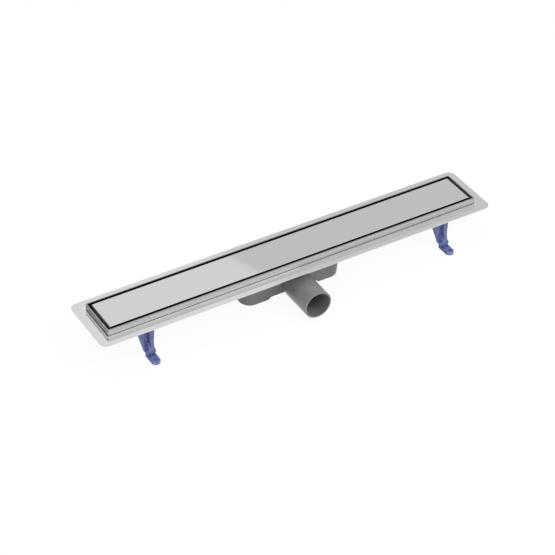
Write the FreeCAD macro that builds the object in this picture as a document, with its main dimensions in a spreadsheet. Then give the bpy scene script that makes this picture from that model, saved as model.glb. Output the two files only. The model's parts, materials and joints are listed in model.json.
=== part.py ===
"""Linear shower drain with a solid cover, a slim side-outlet trap and four moulded legs.

Millimetres, +Z up. X runs along the drain and -Y is the outlet's side. The origin is the
middle of the cover's top face, which is the level of the finished floor.
"""
import FreeCAD, Part
import math
import os

import Sketcher

Vector = FreeCAD.Vector

doc = FreeCAD.newDocument("linear_drain")
sheet = doc.addObject("Spreadsheet::Sheet", "sizes")

SIZES = {
    # Steel trough: its walls rise above the flange by the height of the tiles.
    "drain_length": 701,
    "drain_width": 78,
    "tile_rise": 11.3,
    "trough_gauge": 1.5,
    "bend_inside": 1.0,
    "floor_drop": 6.2,
    "fall_inset": 88.5,
    "fall_depth": 2.4,
    "well_margin": 5,
    "well_ramp": 6,
    "well_step": 2.4,
    "opening_margin": 3,
    # Flange that carries the waterproofing, welded round the trough.
    "flange_end_reach": 20.5,
    "flange_side_reach": 22,
    "flange_gauge": 1.2,
    "flange_corner": 12,
    # Cover: a folded plate that lies flush in the trough.
    "side_slot": 5.0,
    "end_slot": 5.8,
    "cover_gauge": 1.5,
    "cover_depth": 10,
    "cover_edge": 0.5,
    # Bridges that stand on the trough's floor and carry the cover.
    "bridge_end_inset": 43.2,
    "bridge_ramp_gap": 9.6,
    "bridge_breadth": 15,
    "bridge_gauge": 1.5,
    "bridge_clearance": 1,
    # Trap body.
    "trap_length": 193.8,
    "trap_end_flat": 2.8,
    "trap_wall": 2.5,
    "trap_draft": 5.2,
    "sump_depth": 43.5,
    "middle_raise": 7.1,
    "middle_length": 88,
    "middle_ramp": 6,
    "trap_bottom_bevel": 2.5,
    "weir_gauge": 2,
    "weir_height": 23,
    # Outlet spigot.
    "spigot_diameter": 50,
    "spigot_wall": 2.9,
    "spigot_reach": 101,
    "spigot_chamfer": 0.8,
    "neck_clearance": 0.5,
    "neck_step": 0.5,
    "crown_clearance": 0.5,
    "window_margin": 7.1,
    "window_top_gap": 5.5,
    "window_corner": 6,
    # Trap deck, its gasket and the screws that clamp it under the trough.
    "gasket_gauge": 2,
    "gasket_inset": 1.5,
    "deck_thickness": 5,
    "deck_end_overhang": 8,
    "deck_side_overhang": 8,
    "deck_side_inset": 4.2,
    "deck_corner": 12,
    "deck_notch_clearance": 1,
    "seat_depth": 3,
    "seat_clearance": 1,
    "ledge_breadth": 3,
    "screw_inset": 3.8,
    "screw_pitch": 120,
    "screw_diameter": 3.5,
    "screw_head_flats": 6,
    "screw_head_height": 2,
    "screw_length": 11,
    "screw_clearance": 0.5,
    "pillar_side": 7,
    "pillar_length": 4.5,
    "pilot_floor": 1,
    # Dip insert and its seal.
    "insert_length": 167,
    "insert_width": 33,
    "insert_corner": 9,
    "insert_gauge": 2,
    "seal_gauge": 1.5,
    "dip_length": 24,
    "dip_width": 25,
    "dip_corner": 5,
    "dip_wall": 2,
    "dip_end_gap": 0.5,
    "dip_floor_gap": 6,
    "grip_breadth": 3,
    # Hair strainer.
    "strainer_gauge": 0.8,
    "strainer_depth": 2.5,
    "strainer_clearance": 0.5,
    "strainer_rim": 5.5,
    "sieve_slot_length": 26,
    "sieve_slot_breadth": 4,
    "sieve_slot_pitch": 9,
    # Legs, shared by all four corners.
    "leg_inset": 67,
    "leg_pad_gauge": 3,
    "leg_pad_reach": 31.5,
    "leg_edge_inset": 0.5,
    "leg_top_breadth": 29.2,
    "leg_waist_breadth": 19.2,
    "leg_ankle_breadth": 16.1,
    "leg_waist_rise": 10.5,
    "leg_brow_out": 2.5,
    "leg_brow_drop": 12.8,
    "leg_brow_radius": 30,
    "leg_shin_out": 5.5,
    "leg_shin_rise": 12.5,
    "leg_shin_radius": 25,
    "leg_ankle_out": 11.7,
    "leg_ankle_depth": 9,
    "leg_top_depth": 16.1,
    "tang_breadth": 11,
    "tang_depth": 3.4,
    "groove_top_breadth": 10,
    "groove_shin_breadth": 7,
    "groove_foot_breadth": 4,
    "groove_top_depth": 7,
    "groove_shin_depth": 5.5,
    "groove_foot_depth": 1,
    "groove_foot_rise": 4,
    "stud_inset": 23,
    "stud_diameter": 5,
    "stud_length": 12,
    "stud_clearance": 0.5,
    "nut_flats": 8,
    "nut_height": 4,
    # Shoes on the legs' lower ends.
    "ground_clearance": 0.3,
    "shoe_breadth": 15.2,
    "shoe_length": 29.2,
    "shoe_heel_out": 5.5,
    "toe_flat": 0.1,
    "shoe_thickness": 5.7,
    "shoe_edge_bevel": 0.8,
    "cuff_height": 3.6,
    "cuff_depth": 6.6,
    "socket_clearance": 0.1,
    "socket_floor": 2,
    "shoe_hole_diameter": 5.5,
    "shoe_shift": 1,
    "spur_root": 1,
    "spur_rise": 3.5,
    "spur_reach": 2.2,
    "spur_crest": 0.8,
    "spur_drop": 1.5,
    "spur_depth": 4,
}

for row, (alias, size) in enumerate(SIZES.items(), start=1):
    sheet.set(f"A{row}", str(size))
    sheet.setAlias(f"A{row}", alias)
doc.recompute()

# Levels, from the top down.
FLANGE_TOP = "(-sizes.tile_rise)"
FLANGE_UNDER = "(-sizes.tile_rise - sizes.flange_gauge)"
FLOOR_TOP = "(-sizes.tile_rise - sizes.floor_drop)"
FLOOR_UNDER = f"({FLOOR_TOP} - sizes.trough_gauge)"
FALL_TOP = f"({FLOOR_TOP} - sizes.fall_depth)"
WELL_TOP = f"({FALL_TOP} - sizes.well_step)"
WELL_UNDER = f"({WELL_TOP} - sizes.trough_gauge)"
DECK_TOP = f"({WELL_UNDER} - sizes.gasket_gauge)"
DECK_UNDER = f"({DECK_TOP} - sizes.deck_thickness)"
SEAT_TOP = f"({DECK_TOP} - sizes.seat_depth)"
INSERT_UNDER = f"({SEAT_TOP} + sizes.seal_gauge)"
INSERT_TOP = f"({INSERT_UNDER} + sizes.insert_gauge)"
SUMP_UNDER = f"({DECK_UNDER} - sizes.sump_depth)"
SUMP_FLOOR = f"({SUMP_UNDER} + sizes.trap_wall)"
MIDDLE_UNDER = f"({SUMP_UNDER} + sizes.middle_raise)"
MIDDLE_FLOOR = f"({MIDDLE_UNDER} + sizes.trap_wall)"
SPIGOT_HEIGHT = f"({WELL_UNDER} - sizes.crown_clearance - sizes.spigot_diameter / 2)"
SOLE = f"({SPIGOT_HEIGHT} - sizes.spigot_diameter / 2 - sizes.ground_clearance)"
SHOE_TOP = f"({SOLE} + sizes.shoe_thickness)"
CUFF_TOP = f"({SHOE_TOP} + sizes.cuff_height)"
COVER_UNDER = "(-sizes.cover_gauge)"

THREAD_SIDES = 8
TOUCH = 1e-4

# Half sizes in plan.
HALF_LENGTH = "(sizes.drain_length / 2)"
HALF_WIDTH = "(sizes.drain_width / 2)"
INNER_LENGTH = "(sizes.drain_length / 2 - sizes.trough_gauge)"
INNER_WIDTH = "(sizes.drain_width / 2 - sizes.trough_gauge)"
COVER_LENGTH = f"({INNER_LENGTH} - sizes.end_slot)"
COVER_WIDTH = f"({INNER_WIDTH} - sizes.side_slot)"
TRAP_LENGTH = "(sizes.trap_length / 2)"
DECK_LENGTH = f"({TRAP_LENGTH} + sizes.deck_end_overhang)"
DECK_WIDTH = f"({HALF_WIDTH} - sizes.deck_side_inset)"
TRAP_WIDTH = f"({DECK_WIDTH} - sizes.deck_side_overhang)"
TRAP_CORNER = f"({TRAP_WIDTH} - sizes.trap_end_flat)"
WELL_LENGTH = f"({DECK_LENGTH} + sizes.well_margin)"
FALL_START = f"({HALF_LENGTH} - sizes.fall_inset)"
FALL_END = f"({WELL_LENGTH} + sizes.well_ramp)"
BRIDGE_WIDTH = f"({COVER_WIDTH} - sizes.cover_gauge - sizes.bridge_clearance)"
OUTER_BRIDGE = f"({COVER_LENGTH} - sizes.bridge_end_inset)"
INNER_BRIDGE = f"({FALL_END} + sizes.bridge_ramp_gap)"
LEG_PLACE = f"({HALF_LENGTH} - sizes.leg_inset)"
INSERT_LENGTH = "(sizes.insert_length / 2)"
INSERT_WIDTH = "(sizes.insert_width / 2)"
SCREW_SIDE = f"({DECK_WIDTH} - sizes.screw_inset)"
STUD_PLACE = f"(-{HALF_WIDTH} + sizes.stud_inset)"
TANG_REACH = f"({HALF_WIDTH} + sizes.shoe_heel_out + sizes.cuff_depth / 2)"


def number(formula):
    """The value of a size formula, for choosing edges and first places."""
    return float(sheet.evalExpression(formula))


def drawn_in(height):
    """How far the trap's drafted walls have come in at a height below the deck."""
    return f"(({DECK_UNDER} - {height}) * tan(sizes.trap_draft * 1 deg))"


def new_body(label):
    body = doc.addObject("PartDesign::Body", label)
    body.Label = label
    doc.recompute()
    return body


def new_sketch(body, name, role, height="0"):
    """A sketch on one of the body's own planes, moved along that plane's normal."""
    sketch = body.newObject("Sketcher::SketchObject", f"{body.Label}_{name}")
    plane = [part for part in body.Origin.OriginFeatures if part.Role == role][0]
    sketch.AttachmentSupport = [(plane, "")]
    sketch.MapMode = "FlatFace"
    if height != "0":
        sketch.setExpression(".AttachmentOffset.Base.z", height)
    doc.recompute()
    return sketch


def hold_point(sketch, geometry, point, place):
    """Dimension a point from the sketch's origin by two size formulas."""
    for kind, formula, axis in zip(("DistanceX", "DistanceY"), place, (-2, -1)):
        if formula == "0":
            sketch.addConstraint(Sketcher.Constraint("PointOnObject", geometry, point, axis))
            continue
        index = sketch.addConstraint(Sketcher.Constraint(kind, -1, 1, geometry, point, number(formula)))
        sketch.setExpression(f"Constraints[{index}]", formula)


def circle(sketch, place, diameter):
    centre = Vector(number(place[0]), number(place[1]), 0)
    radius = number(f"{diameter} / 2")
    geometry = sketch.addGeometry(Part.Circle(centre, Vector(0, 0, 1), radius))
    hold_point(sketch, geometry, 3, place)
    index = sketch.addConstraint(Sketcher.Constraint("Diameter", geometry, 2 * radius))
    sketch.setExpression(f"Constraints[{index}]", diameter)


def outline(sketch, corners):
    """A closed loop of lines. A corner is (x, y), or (x, y, radius) where an arc rounds it."""
    points = [Vector(number(corner[0]), number(corner[1]), 0) for corner in corners]
    radii = [number(corner[2]) if len(corner) == 3 else 0 for corner in corners]
    count = len(corners)
    inward = []
    for index, point in enumerate(points):
        before = (points[index - 1] - point).normalize()
        after = (points[(index + 1) % count] - point).normalize()
        half_angle = before.getAngle(after) / 2
        reach = radii[index] / math.tan(half_angle)
        inward.append((point + before * reach, point + after * reach, before, after, half_angle))
    lines = []
    for index in range(count):
        start = inward[index][1]
        end = inward[(index + 1) % count][0]
        lines.append(sketch.addGeometry(Part.LineSegment(start, end)))
    for index, corner in enumerate(corners):
        arriving = lines[index - 1]
        leaving = lines[index]
        if not radii[index]:
            sketch.addConstraint(Sketcher.Constraint("Coincident", arriving, 2, leaving, 1))
            hold_point(sketch, leaving, 1, corner)
            continue
        first, last, before, after, half_angle = inward[index]
        middle = (before + after).normalize()
        centre = points[index] + middle * first.distanceToPoint(points[index]) / before.dot(middle)
        via = centre - middle * radii[index]
        arc = sketch.addGeometry(Part.Arc(first, via, last))
        turns_left = before.cross(after).z < 0
        arc_start, arc_end = (1, 2) if turns_left else (2, 1)
        sketch.addConstraint(Sketcher.Constraint("Tangent", arriving, 2, arc, arc_start))
        sketch.addConstraint(Sketcher.Constraint("Tangent", leaving, 1, arc, arc_end))
        radius = sketch.addConstraint(Sketcher.Constraint("Radius", arc, radii[index]))
        sketch.setExpression(f"Constraints[{radius}]", corner[2])
        apex = sketch.addGeometry(Part.Point(points[index]), True)
        hold_point(sketch, apex, 1, corner)
        sketch.addConstraint(Sketcher.Constraint("PointOnObject", apex, 1, arriving))
        sketch.addConstraint(Sketcher.Constraint("PointOnObject", apex, 1, leaving))


def threaded(sketch, place, diameter):
    """A small threaded bore, drawn with the sides that a thread has on its screw."""
    corners = []
    for step in range(THREAD_SIDES):
        turn = f"{360 * step / THREAD_SIDES} deg"
        corners.append((f"{place[0]} + {diameter} / 2 * cos({turn})",
                        f"{place[1]} + {diameter} / 2 * sin({turn})"))
    outline(sketch, corners)


def rectangle(sketch, half_x, half_y, radius=None, middle=("0", "0")):
    corners = []
    for side_x, side_y in ((-1, -1), (1, -1), (1, 1), (-1, 1)):
        corner = (f"{middle[0]} + {side_x} * {half_x}", f"{middle[1]} + {side_y} * {half_y}")
        corners.append(corner + (radius,) if radius else corner)
    outline(sketch, corners)


def finish_feature(body, feature, grows):
    """Recompute, and stop when a feature adds or removes nothing."""
    before = body.Shape.Volume if body.Tip and not body.Shape.isNull() else 0
    body.Tip = feature
    doc.recompute()
    after = feature.Shape.Volume
    if (after - before) * grows <= 0:
        raise ValueError(f"{feature.Label} changed nothing: {before:.1f} to {after:.1f}")
    return feature


def pad(body, sketch, length, reverse=False, symmetric=False, taper=None):
    feature = body.newObject("PartDesign::Pad", f"{sketch.Label}_pad")
    feature.Profile = sketch
    feature.Reversed = reverse
    feature.SideType = "Symmetric" if symmetric else "One side"
    feature.setExpression("Length", length)
    if taper:
        feature.setExpression("TaperAngle", taper)
    return finish_feature(body, feature, 1)


def pocket(body, sketch, length=None, reverse=False, symmetric=False, taper=None):
    """A cut into the body. With no length it goes right through."""
    feature = body.newObject("PartDesign::Pocket", f"{sketch.Label}_pocket")
    feature.Profile = sketch
    feature.Reversed = reverse
    feature.SideType = "Symmetric" if symmetric else "One side"
    if length:
        feature.setExpression("Length", length)
    else:
        feature.Type = "ThroughAll"
    if taper:
        feature.setExpression("TaperAngle", taper)
    return finish_feature(body, feature, -1)


def edges_where(feature, test):
    return [f"Edge{index}" for index, edge in enumerate(feature.Shape.Edges, start=1) if test(edge)]


def dress(body, kind, feature, test, size):
    """A fillet or chamfer on the edges that pass the test."""
    edges = edges_where(feature, test)
    if not edges:
        raise ValueError(f"{body.Label}: no edge to dress")
    result = body.newObject(f"PartDesign::{kind}", f"{body.Label}_{kind.lower()}")
    result.Base = (feature, edges)
    result.setExpression("Radius" if kind == "Fillet" else "Size", size)
    body.Tip = result
    doc.recompute()
    return result


def level_edge(formula):
    """Test for an edge that lies wholly at one height."""
    height = number(formula)
    return lambda edge: edge.BoundBox.ZLength < TOUCH and abs(edge.BoundBox.ZMin - height) < TOUCH


def trough_profile(half_length, level, end_top):
    """The long section of the trough: level ends, a fall, a ramp and a flat well."""
    right = [
        (half_length, end_top),
        (half_length, level),
        (FALL_START, level),
        (FALL_END, f"{level} - sizes.fall_depth"),
        (WELL_LENGTH, f"{level} - sizes.fall_depth - sizes.well_step"),
    ]
    left = [(f"-({along})", height) for along, height in reversed(right)]
    return right + left


def make_trough():
    """Pressed steel trough. The floor falls to a flat well with the outlet opening."""
    body = new_body("trough")
    side = new_sketch(body, "side", "XZ_Plane")
    outline(side, trough_profile(HALF_LENGTH, FLOOR_UNDER, "0"))
    block = pad(body, side, "sizes.drain_width", symmetric=True)
    half_width = number(HALF_WIDTH)
    low = number(FLANGE_UNDER)

    def lower_fold(edge):
        along = abs(abs(edge.BoundBox.YMin) - half_width) < TOUCH and edge.BoundBox.YLength < TOUCH
        return along and edge.BoundBox.ZMax < low

    dress(body, "Fillet", block, lower_fold, "sizes.bend_inside + sizes.trough_gauge")
    inside = new_sketch(body, "inside", "XZ_Plane")
    outline(inside, trough_profile(INNER_LENGTH, FLOOR_TOP, "sizes.trough_gauge"))
    hollow = pocket(body, inside, "sizes.drain_width - 2 * sizes.trough_gauge", symmetric=True)
    inner_width = number(INNER_WIDTH)

    def inner_fold(edge):
        along = abs(abs(edge.BoundBox.YMin) - inner_width) < TOUCH and edge.BoundBox.YLength < TOUCH
        return along and edge.BoundBox.ZMax < low

    dress(body, "Fillet", hollow, inner_fold, "sizes.bend_inside")
    opening = new_sketch(body, "opening", "XY_Plane", WELL_TOP)
    margin = "sizes.opening_margin"
    rectangle(opening, f"({INSERT_LENGTH} + {margin})", f"({INSERT_WIDTH} + {margin})",
              f"sizes.insert_corner + {margin}")
    for place in screw_places():
        circle(opening, place, "sizes.screw_diameter + 2 * sizes.screw_clearance")
    pocket(body, opening, "2 * sizes.trough_gauge")
    return body


def screw_places():
    """Two clamp screws on each side of the trap."""
    along = "(sizes.screw_pitch / 2)"
    return [(x, y) for y in (f"-{SCREW_SIDE}", SCREW_SIDE) for x in (f"-{along}", along)]


def make_flange():
    """Flat steel flange with rounded corners, round the trough's walls."""
    body = new_body("flange")
    plan = new_sketch(body, "plan", "XY_Plane", FLANGE_TOP)
    rectangle(plan, f"({HALF_LENGTH} + sizes.flange_end_reach)",
              f"({HALF_WIDTH} + sizes.flange_side_reach)", "sizes.flange_corner")
    rectangle(plan, HALF_LENGTH, HALF_WIDTH)
    pad(body, plan, "sizes.flange_gauge", reverse=True)
    return body


def make_cover():
    """Solid cover: a steel plate with its four edges folded down."""
    body = new_body("cover")
    plan = new_sketch(body, "plan", "XY_Plane")
    rectangle(plan, COVER_LENGTH, COVER_WIDTH)
    block = pad(body, plan, "sizes.cover_depth", reverse=True)
    dress(body, "Chamfer", block, level_edge("0"), "sizes.cover_edge")
    inside = new_sketch(body, "inside", "XY_Plane", "-sizes.cover_depth")
    rectangle(inside, f"({COVER_LENGTH} - sizes.cover_gauge)", f"({COVER_WIDTH} - sizes.cover_gauge)")
    pocket(body, inside, "sizes.cover_depth - sizes.cover_gauge", reverse=True)
    return body


def floor_height(distance):
    """The floor's height on the trough's fall, at a distance from the middle."""
    run = f"({FALL_START} - {FALL_END})"
    return f"({FLOOR_TOP} - sizes.fall_depth * ({FALL_START} - {distance}) / {run})"


def make_bridge(label, side, along, on_fall):
    """Folded strip, welded to the floor, that fits inside the cover and carries its plate."""
    body = new_body(label)
    section = new_sketch(body, "section", "YZ_Plane", f"{side} * {along}")
    outer = "sizes.bridge_gauge"
    inner = f"({BRIDGE_WIDTH} - sizes.bridge_gauge)"
    under = f"({COVER_UNDER} - sizes.bridge_gauge)"
    outline(section, [
        (f"-{BRIDGE_WIDTH}", WELL_TOP),
        (f"-{inner}", WELL_TOP),
        (f"-{inner}", under),
        (inner, under),
        (inner, WELL_TOP),
        (BRIDGE_WIDTH, WELL_TOP),
        (BRIDGE_WIDTH, COVER_UNDER, outer),
        (f"-{BRIDGE_WIDTH}", COVER_UNDER, outer),
    ])
    pad(body, section, "sizes.bridge_breadth", symmetric=True)
    near = f"({along} - sizes.bridge_breadth)"
    far = f"({along} + sizes.bridge_breadth)"
    foot = new_sketch(body, "foot", "XZ_Plane")
    outline(foot, [
        (f"{side} * {near}", WELL_UNDER),
        (f"{side} * {far}", WELL_UNDER),
        (f"{side} * {far}", floor_height(far) if on_fall else FLOOR_TOP),
        (f"{side} * {near}", floor_height(near) if on_fall else FLOOR_TOP),
    ])
    pocket(body, foot, symmetric=True)
    return body


def make_gasket():
    """Flat rubber ring between the trough's well and the trap's deck."""
    body = new_body("trap_gasket")
    plan = new_sketch(body, "plan", "XY_Plane", DECK_TOP)
    margin = "(sizes.opening_margin + sizes.gasket_inset)"
    rectangle(plan, TRAP_LENGTH, TRAP_WIDTH, TRAP_CORNER)
    rectangle(plan, f"({INSERT_LENGTH} + {margin})", f"({INSERT_WIDTH} + {margin})",
              f"sizes.insert_corner + {margin}")
    pad(body, plan, "sizes.gasket_gauge")
    return body


def make_deck():
    """Top moulding of the trap: screw pillars, the insert's seat and a notch over the spigot."""
    body = new_body("trap_deck")
    plan = new_sketch(body, "plan", "XY_Plane", DECK_TOP)
    rectangle(plan, DECK_LENGTH, DECK_WIDTH, "sizes.deck_corner")
    pad(body, plan, "sizes.deck_thickness", reverse=True)
    pillars = new_sketch(body, "pillars", "XY_Plane", DECK_UNDER)
    for place in screw_places():
        rectangle(pillars, "(sizes.pillar_side / 2)", "(sizes.pillar_side / 2)", middle=place)
    pad(body, pillars, "sizes.pillar_length", reverse=True)
    pilot = new_sketch(body, "pilot", "XY_Plane", DECK_TOP)
    for place in screw_places():
        threaded(pilot, place, "sizes.screw_diameter")
    pocket(body, pilot, "sizes.deck_thickness + sizes.pillar_length - sizes.pilot_floor")
    seat = new_sketch(body, "seat", "XY_Plane", DECK_TOP)
    clearance = "sizes.seat_clearance"
    rectangle(seat, f"({INSERT_LENGTH} + {clearance})", f"({INSERT_WIDTH} + {clearance})",
              f"sizes.insert_corner + {clearance}")
    pocket(body, seat, "sizes.seat_depth")
    mouth = new_sketch(body, "mouth", "XY_Plane", SEAT_TOP)
    ledge = "sizes.ledge_breadth"
    rectangle(mouth, f"({INSERT_LENGTH} - {ledge})", f"({INSERT_WIDTH} - {ledge})",
              f"sizes.insert_corner - {ledge}")
    pocket(body, mouth, "sizes.deck_thickness")
    notch = new_sketch(body, "notch", "XY_Plane", DECK_TOP)
    half = "(sizes.spigot_diameter / 2 + sizes.deck_notch_clearance)"
    back = f"(-{TRAP_WIDTH} - sizes.crown_clearance)"
    outline(notch, [
        (f"-{half}", f"-2 * {DECK_WIDTH}"),
        (half, f"-2 * {DECK_WIDTH}"),
        (half, back),
        (f"-{half}", back),
    ])
    pocket(body, notch, "sizes.deck_thickness")
    return body


def make_trap_body():
    """Lower moulding of the trap: two sumps, a raised middle with weirs, and the side spigot."""
    body = new_body("trap_body")
    plan = new_sketch(body, "plan", "XY_Plane", DECK_UNDER)
    rectangle(plan, TRAP_LENGTH, TRAP_WIDTH, TRAP_CORNER)
    tub = pad(body, plan, "sizes.sump_depth", reverse=True, taper="-sizes.trap_draft")
    dress(body, "Chamfer", tub, level_edge(SUMP_UNDER), "sizes.trap_bottom_bevel")
    arch = new_sketch(body, "arch", "XZ_Plane")
    half = "(sizes.middle_length / 2)"
    foot = f"({half} + sizes.middle_ramp)"
    below = f"({SUMP_UNDER} - sizes.trap_wall)"
    outline(arch, [
        (f"-{foot}", below),
        (foot, below),
        (foot, SUMP_UNDER),
        (half, MIDDLE_UNDER),
        (f"-{half}", MIDDLE_UNDER),
        (f"-{foot}", SUMP_UNDER),
    ])
    pocket(body, arch, symmetric=True)
    root = f"({TRAP_WIDTH} - {drawn_in(MIDDLE_UNDER)} - sizes.trap_wall / 2)"
    face = f"({TRAP_WIDTH} + 2 * sizes.crown_clearance)"
    neck_end = f"({HALF_WIDTH} + sizes.neck_clearance)"
    neck = new_sketch(body, "neck", "XZ_Plane", root)
    circle(neck, ("0", SPIGOT_HEIGHT), "sizes.spigot_diameter - 2 * sizes.neck_step")
    pad(body, neck, f"{neck_end} - {root}")
    pipe = new_sketch(body, "pipe", "XZ_Plane", neck_end)
    circle(pipe, ("0", SPIGOT_HEIGHT), "sizes.spigot_diameter")
    pad(body, pipe, f"sizes.spigot_reach - {neck_end}")
    crown = new_sketch(body, "crown", "XY_Plane", DECK_UNDER)
    rectangle(crown, "sizes.spigot_diameter", face)
    pocket(body, crown, "sizes.spigot_diameter", reverse=True)
    inside_length = f"({TRAP_LENGTH} - sizes.trap_wall)"
    inside_width = f"({TRAP_WIDTH} - sizes.trap_wall)"
    inside_corner = f"({TRAP_CORNER} - sizes.trap_wall)"
    cavity = new_sketch(body, "cavity", "XY_Plane", DECK_UNDER)
    rectangle(cavity, inside_length, inside_width, inside_corner)
    pocket(body, cavity, f"{DECK_UNDER} - {MIDDLE_FLOOR}", taper="-sizes.trap_draft")
    sumps = new_sketch(body, "sumps", "XY_Plane", MIDDLE_FLOOR)
    near = f"({foot} + sizes.trap_wall)"
    far = f"({inside_length} - {drawn_in(MIDDLE_FLOOR)})"
    sump_width = f"({inside_width} - {drawn_in(MIDDLE_FLOOR)})"
    far_corner = f"({inside_corner} - {drawn_in(MIDDLE_FLOOR)})"
    for side in (1, -1):
        outline(sumps, [
            (f"{side} * {near}", f"-{sump_width}"),
            (f"{side} * {far}", f"-{sump_width}", far_corner),
            (f"{side} * {far}", sump_width, far_corner),
            (f"{side} * {near}", sump_width),
        ])
    pocket(body, sumps, f"{MIDDLE_FLOOR} - {SUMP_FLOOR}", taper="-sizes.trap_draft")
    weir_base = f"({MIDDLE_FLOOR} - sizes.trap_wall / 2)"
    weir_top = f"({MIDDLE_FLOOR} + sizes.weir_height)"
    base_half = f"({inside_width} - {drawn_in(weir_base)} + sizes.trap_wall / 2)"
    top_half = f"({inside_width} - {drawn_in(weir_top)} + sizes.trap_wall / 2)"
    for name, side in (("right_weir", 1), ("left_weir", -1)):
        weir = new_sketch(body, name, "YZ_Plane", f"{side} * ({half} - sizes.weir_gauge / 2)")
        outline(weir, [
            (f"-{base_half}", weir_base),
            (base_half, weir_base),
            (top_half, weir_top),
            (f"-{top_half}", weir_top),
        ])
        pad(body, weir, "sizes.weir_gauge", symmetric=True)
    bore = new_sketch(body, "bore", "XZ_Plane", "sizes.spigot_reach")
    circle(bore, ("0", SPIGOT_HEIGHT), "sizes.spigot_diameter - 2 * sizes.spigot_wall")
    pocket(body, bore, f"sizes.spigot_reach - {face} - sizes.trap_wall")
    window = new_sketch(body, "window", "XZ_Plane", f"{face} + 2 * sizes.trap_wall")
    breadth = "(sizes.spigot_diameter / 2 - sizes.spigot_wall - sizes.window_margin)"
    lintel = f"({DECK_UNDER} - sizes.window_top_gap)"
    outline(window, [
        (f"-{breadth}", MIDDLE_FLOOR),
        (breadth, MIDDLE_FLOOR),
        (breadth, lintel, "sizes.window_corner"),
        (f"-{breadth}", lintel, "sizes.window_corner"),
    ])
    reach = f"{face} - {inside_width} + {drawn_in(MIDDLE_FLOOR)} + 3 * sizes.trap_wall"
    opened = pocket(body, window, reach)
    mouth = number("-sizes.spigot_reach")
    pipe_radius = number("sizes.spigot_diameter / 2")

    def mouth_edge(edge):
        at_mouth = abs(edge.BoundBox.YMin - mouth) < TOUCH and edge.BoundBox.YLength < TOUCH
        return at_mouth and abs(edge.Curve.Radius - pipe_radius) < TOUCH

    dress(body, "Chamfer", opened, mouth_edge, "sizes.spigot_chamfer")
    return body


def make_seal():
    """Soft ring on the deck's ledge that the dip insert presses on."""
    body = new_body("insert_seal")
    plan = new_sketch(body, "plan", "XY_Plane", SEAT_TOP)
    ledge = "sizes.ledge_breadth"
    rectangle(plan, INSERT_LENGTH, INSERT_WIDTH, "sizes.insert_corner")
    rectangle(plan, f"({INSERT_LENGTH} - {ledge})", f"({INSERT_WIDTH} - {ledge})",
              f"sizes.insert_corner - {ledge}")
    pad(body, plan, "sizes.seal_gauge")
    return body


def make_insert():
    """Lift-out insert: a plate with a dip tube into each sump and a bar to pull it out by."""
    body = new_body("dip_insert")
    plan = new_sketch(body, "plan", "XY_Plane", INSERT_UNDER)
    rectangle(plan, INSERT_LENGTH, INSERT_WIDTH, "sizes.insert_corner")
    pad(body, plan, "sizes.insert_gauge")
    half_length = "(sizes.dip_length / 2)"
    half_width = "(sizes.dip_width / 2)"
    along = f"({INSERT_LENGTH} - sizes.ledge_breadth - sizes.dip_end_gap - {half_length})"
    reach = f"({INSERT_UNDER} - {SUMP_FLOOR} - sizes.dip_floor_gap)"
    dips = new_sketch(body, "dips", "XY_Plane", INSERT_UNDER)
    bores = new_sketch(body, "dip_bores", "XY_Plane", INSERT_TOP)
    grips = new_sketch(body, "grips", "XY_Plane", INSERT_UNDER)
    wall = "sizes.dip_wall"
    for side in (1, -1):
        middle = (f"{side} * {along}", "0")
        rectangle(dips, half_length, half_width, "sizes.dip_corner", middle)
        rectangle(bores, f"({half_length} - {wall})", f"({half_width} - {wall})", middle=middle)
        rectangle(grips, "(sizes.grip_breadth / 2)", f"({half_width} - {wall} / 2)", middle=middle)
    pad(body, dips, reach, reverse=True)
    pocket(body, bores)
    pad(body, grips, "sizes.insert_gauge")
    return body


def make_strainer():
    """Hair strainer: a shallow steel pan with a row of slots, hung in the trough's opening."""
    body = new_body("hair_strainer")
    rim = new_sketch(body, "rim", "XY_Plane", WELL_TOP)
    clearance = "(sizes.seat_clearance - sizes.strainer_clearance)"
    pan_length = f"({INSERT_LENGTH} + {clearance})"
    pan_width = f"({INSERT_WIDTH} + {clearance})"
    pan_corner = f"sizes.insert_corner + {clearance}"
    gauge = "sizes.strainer_gauge"
    rectangle(rim, f"({pan_length} + sizes.strainer_rim)", f"({pan_width} + sizes.strainer_rim)",
              f"{pan_corner} + sizes.strainer_rim")
    pad(body, rim, gauge)
    pan = new_sketch(body, "pan", "XY_Plane", WELL_TOP)
    rectangle(pan, pan_length, pan_width, pan_corner)
    pad(body, pan, "sizes.strainer_depth", reverse=True)
    hollow = new_sketch(body, "hollow", "XY_Plane", f"{WELL_TOP} + {gauge}")
    rectangle(hollow, f"({pan_length} - {gauge})", f"({pan_width} - {gauge})", f"{pan_corner} - {gauge}")
    pocket(body, hollow, "sizes.strainer_depth")
    slot = new_sketch(body, "slot", "XY_Plane", f"{WELL_TOP} - sizes.strainer_depth + 2 * {gauge}")
    edge_gap = f"({gauge} + sizes.sieve_slot_pitch / 2)"
    copies = math.floor(number(f"2 * ({pan_length} - {edge_gap}) / sizes.sieve_slot_pitch")) + 1
    first = f"(-{copies - 1} * sizes.sieve_slot_pitch / 2)"
    rectangle(slot, "(sizes.sieve_slot_breadth / 2)", "(sizes.sieve_slot_length / 2)", middle=(first, "0"))
    cut = pocket(body, slot, f"3 * {gauge}")
    row = body.newObject("PartDesign::LinearPattern", "sieve_row")
    row.Originals = [cut]
    row.Direction = (slot, ["H_Axis"])
    row.Occurrences = copies
    row.setExpression("Length", f"{copies - 1} * sizes.sieve_slot_pitch")
    finish_feature(body, row, -1)
    return body


def place_leg_piece(body, side, rear):
    """Put a piece drawn for the middle of the front edge at one of the four legs."""
    body.Placement = FreeCAD.Placement(Vector(), FreeCAD.Rotation(Vector(0, 0, 1), 180 if rear else 0))
    body.setExpression("Placement.Base.x", f"{side} * {LEG_PLACE}")


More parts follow.
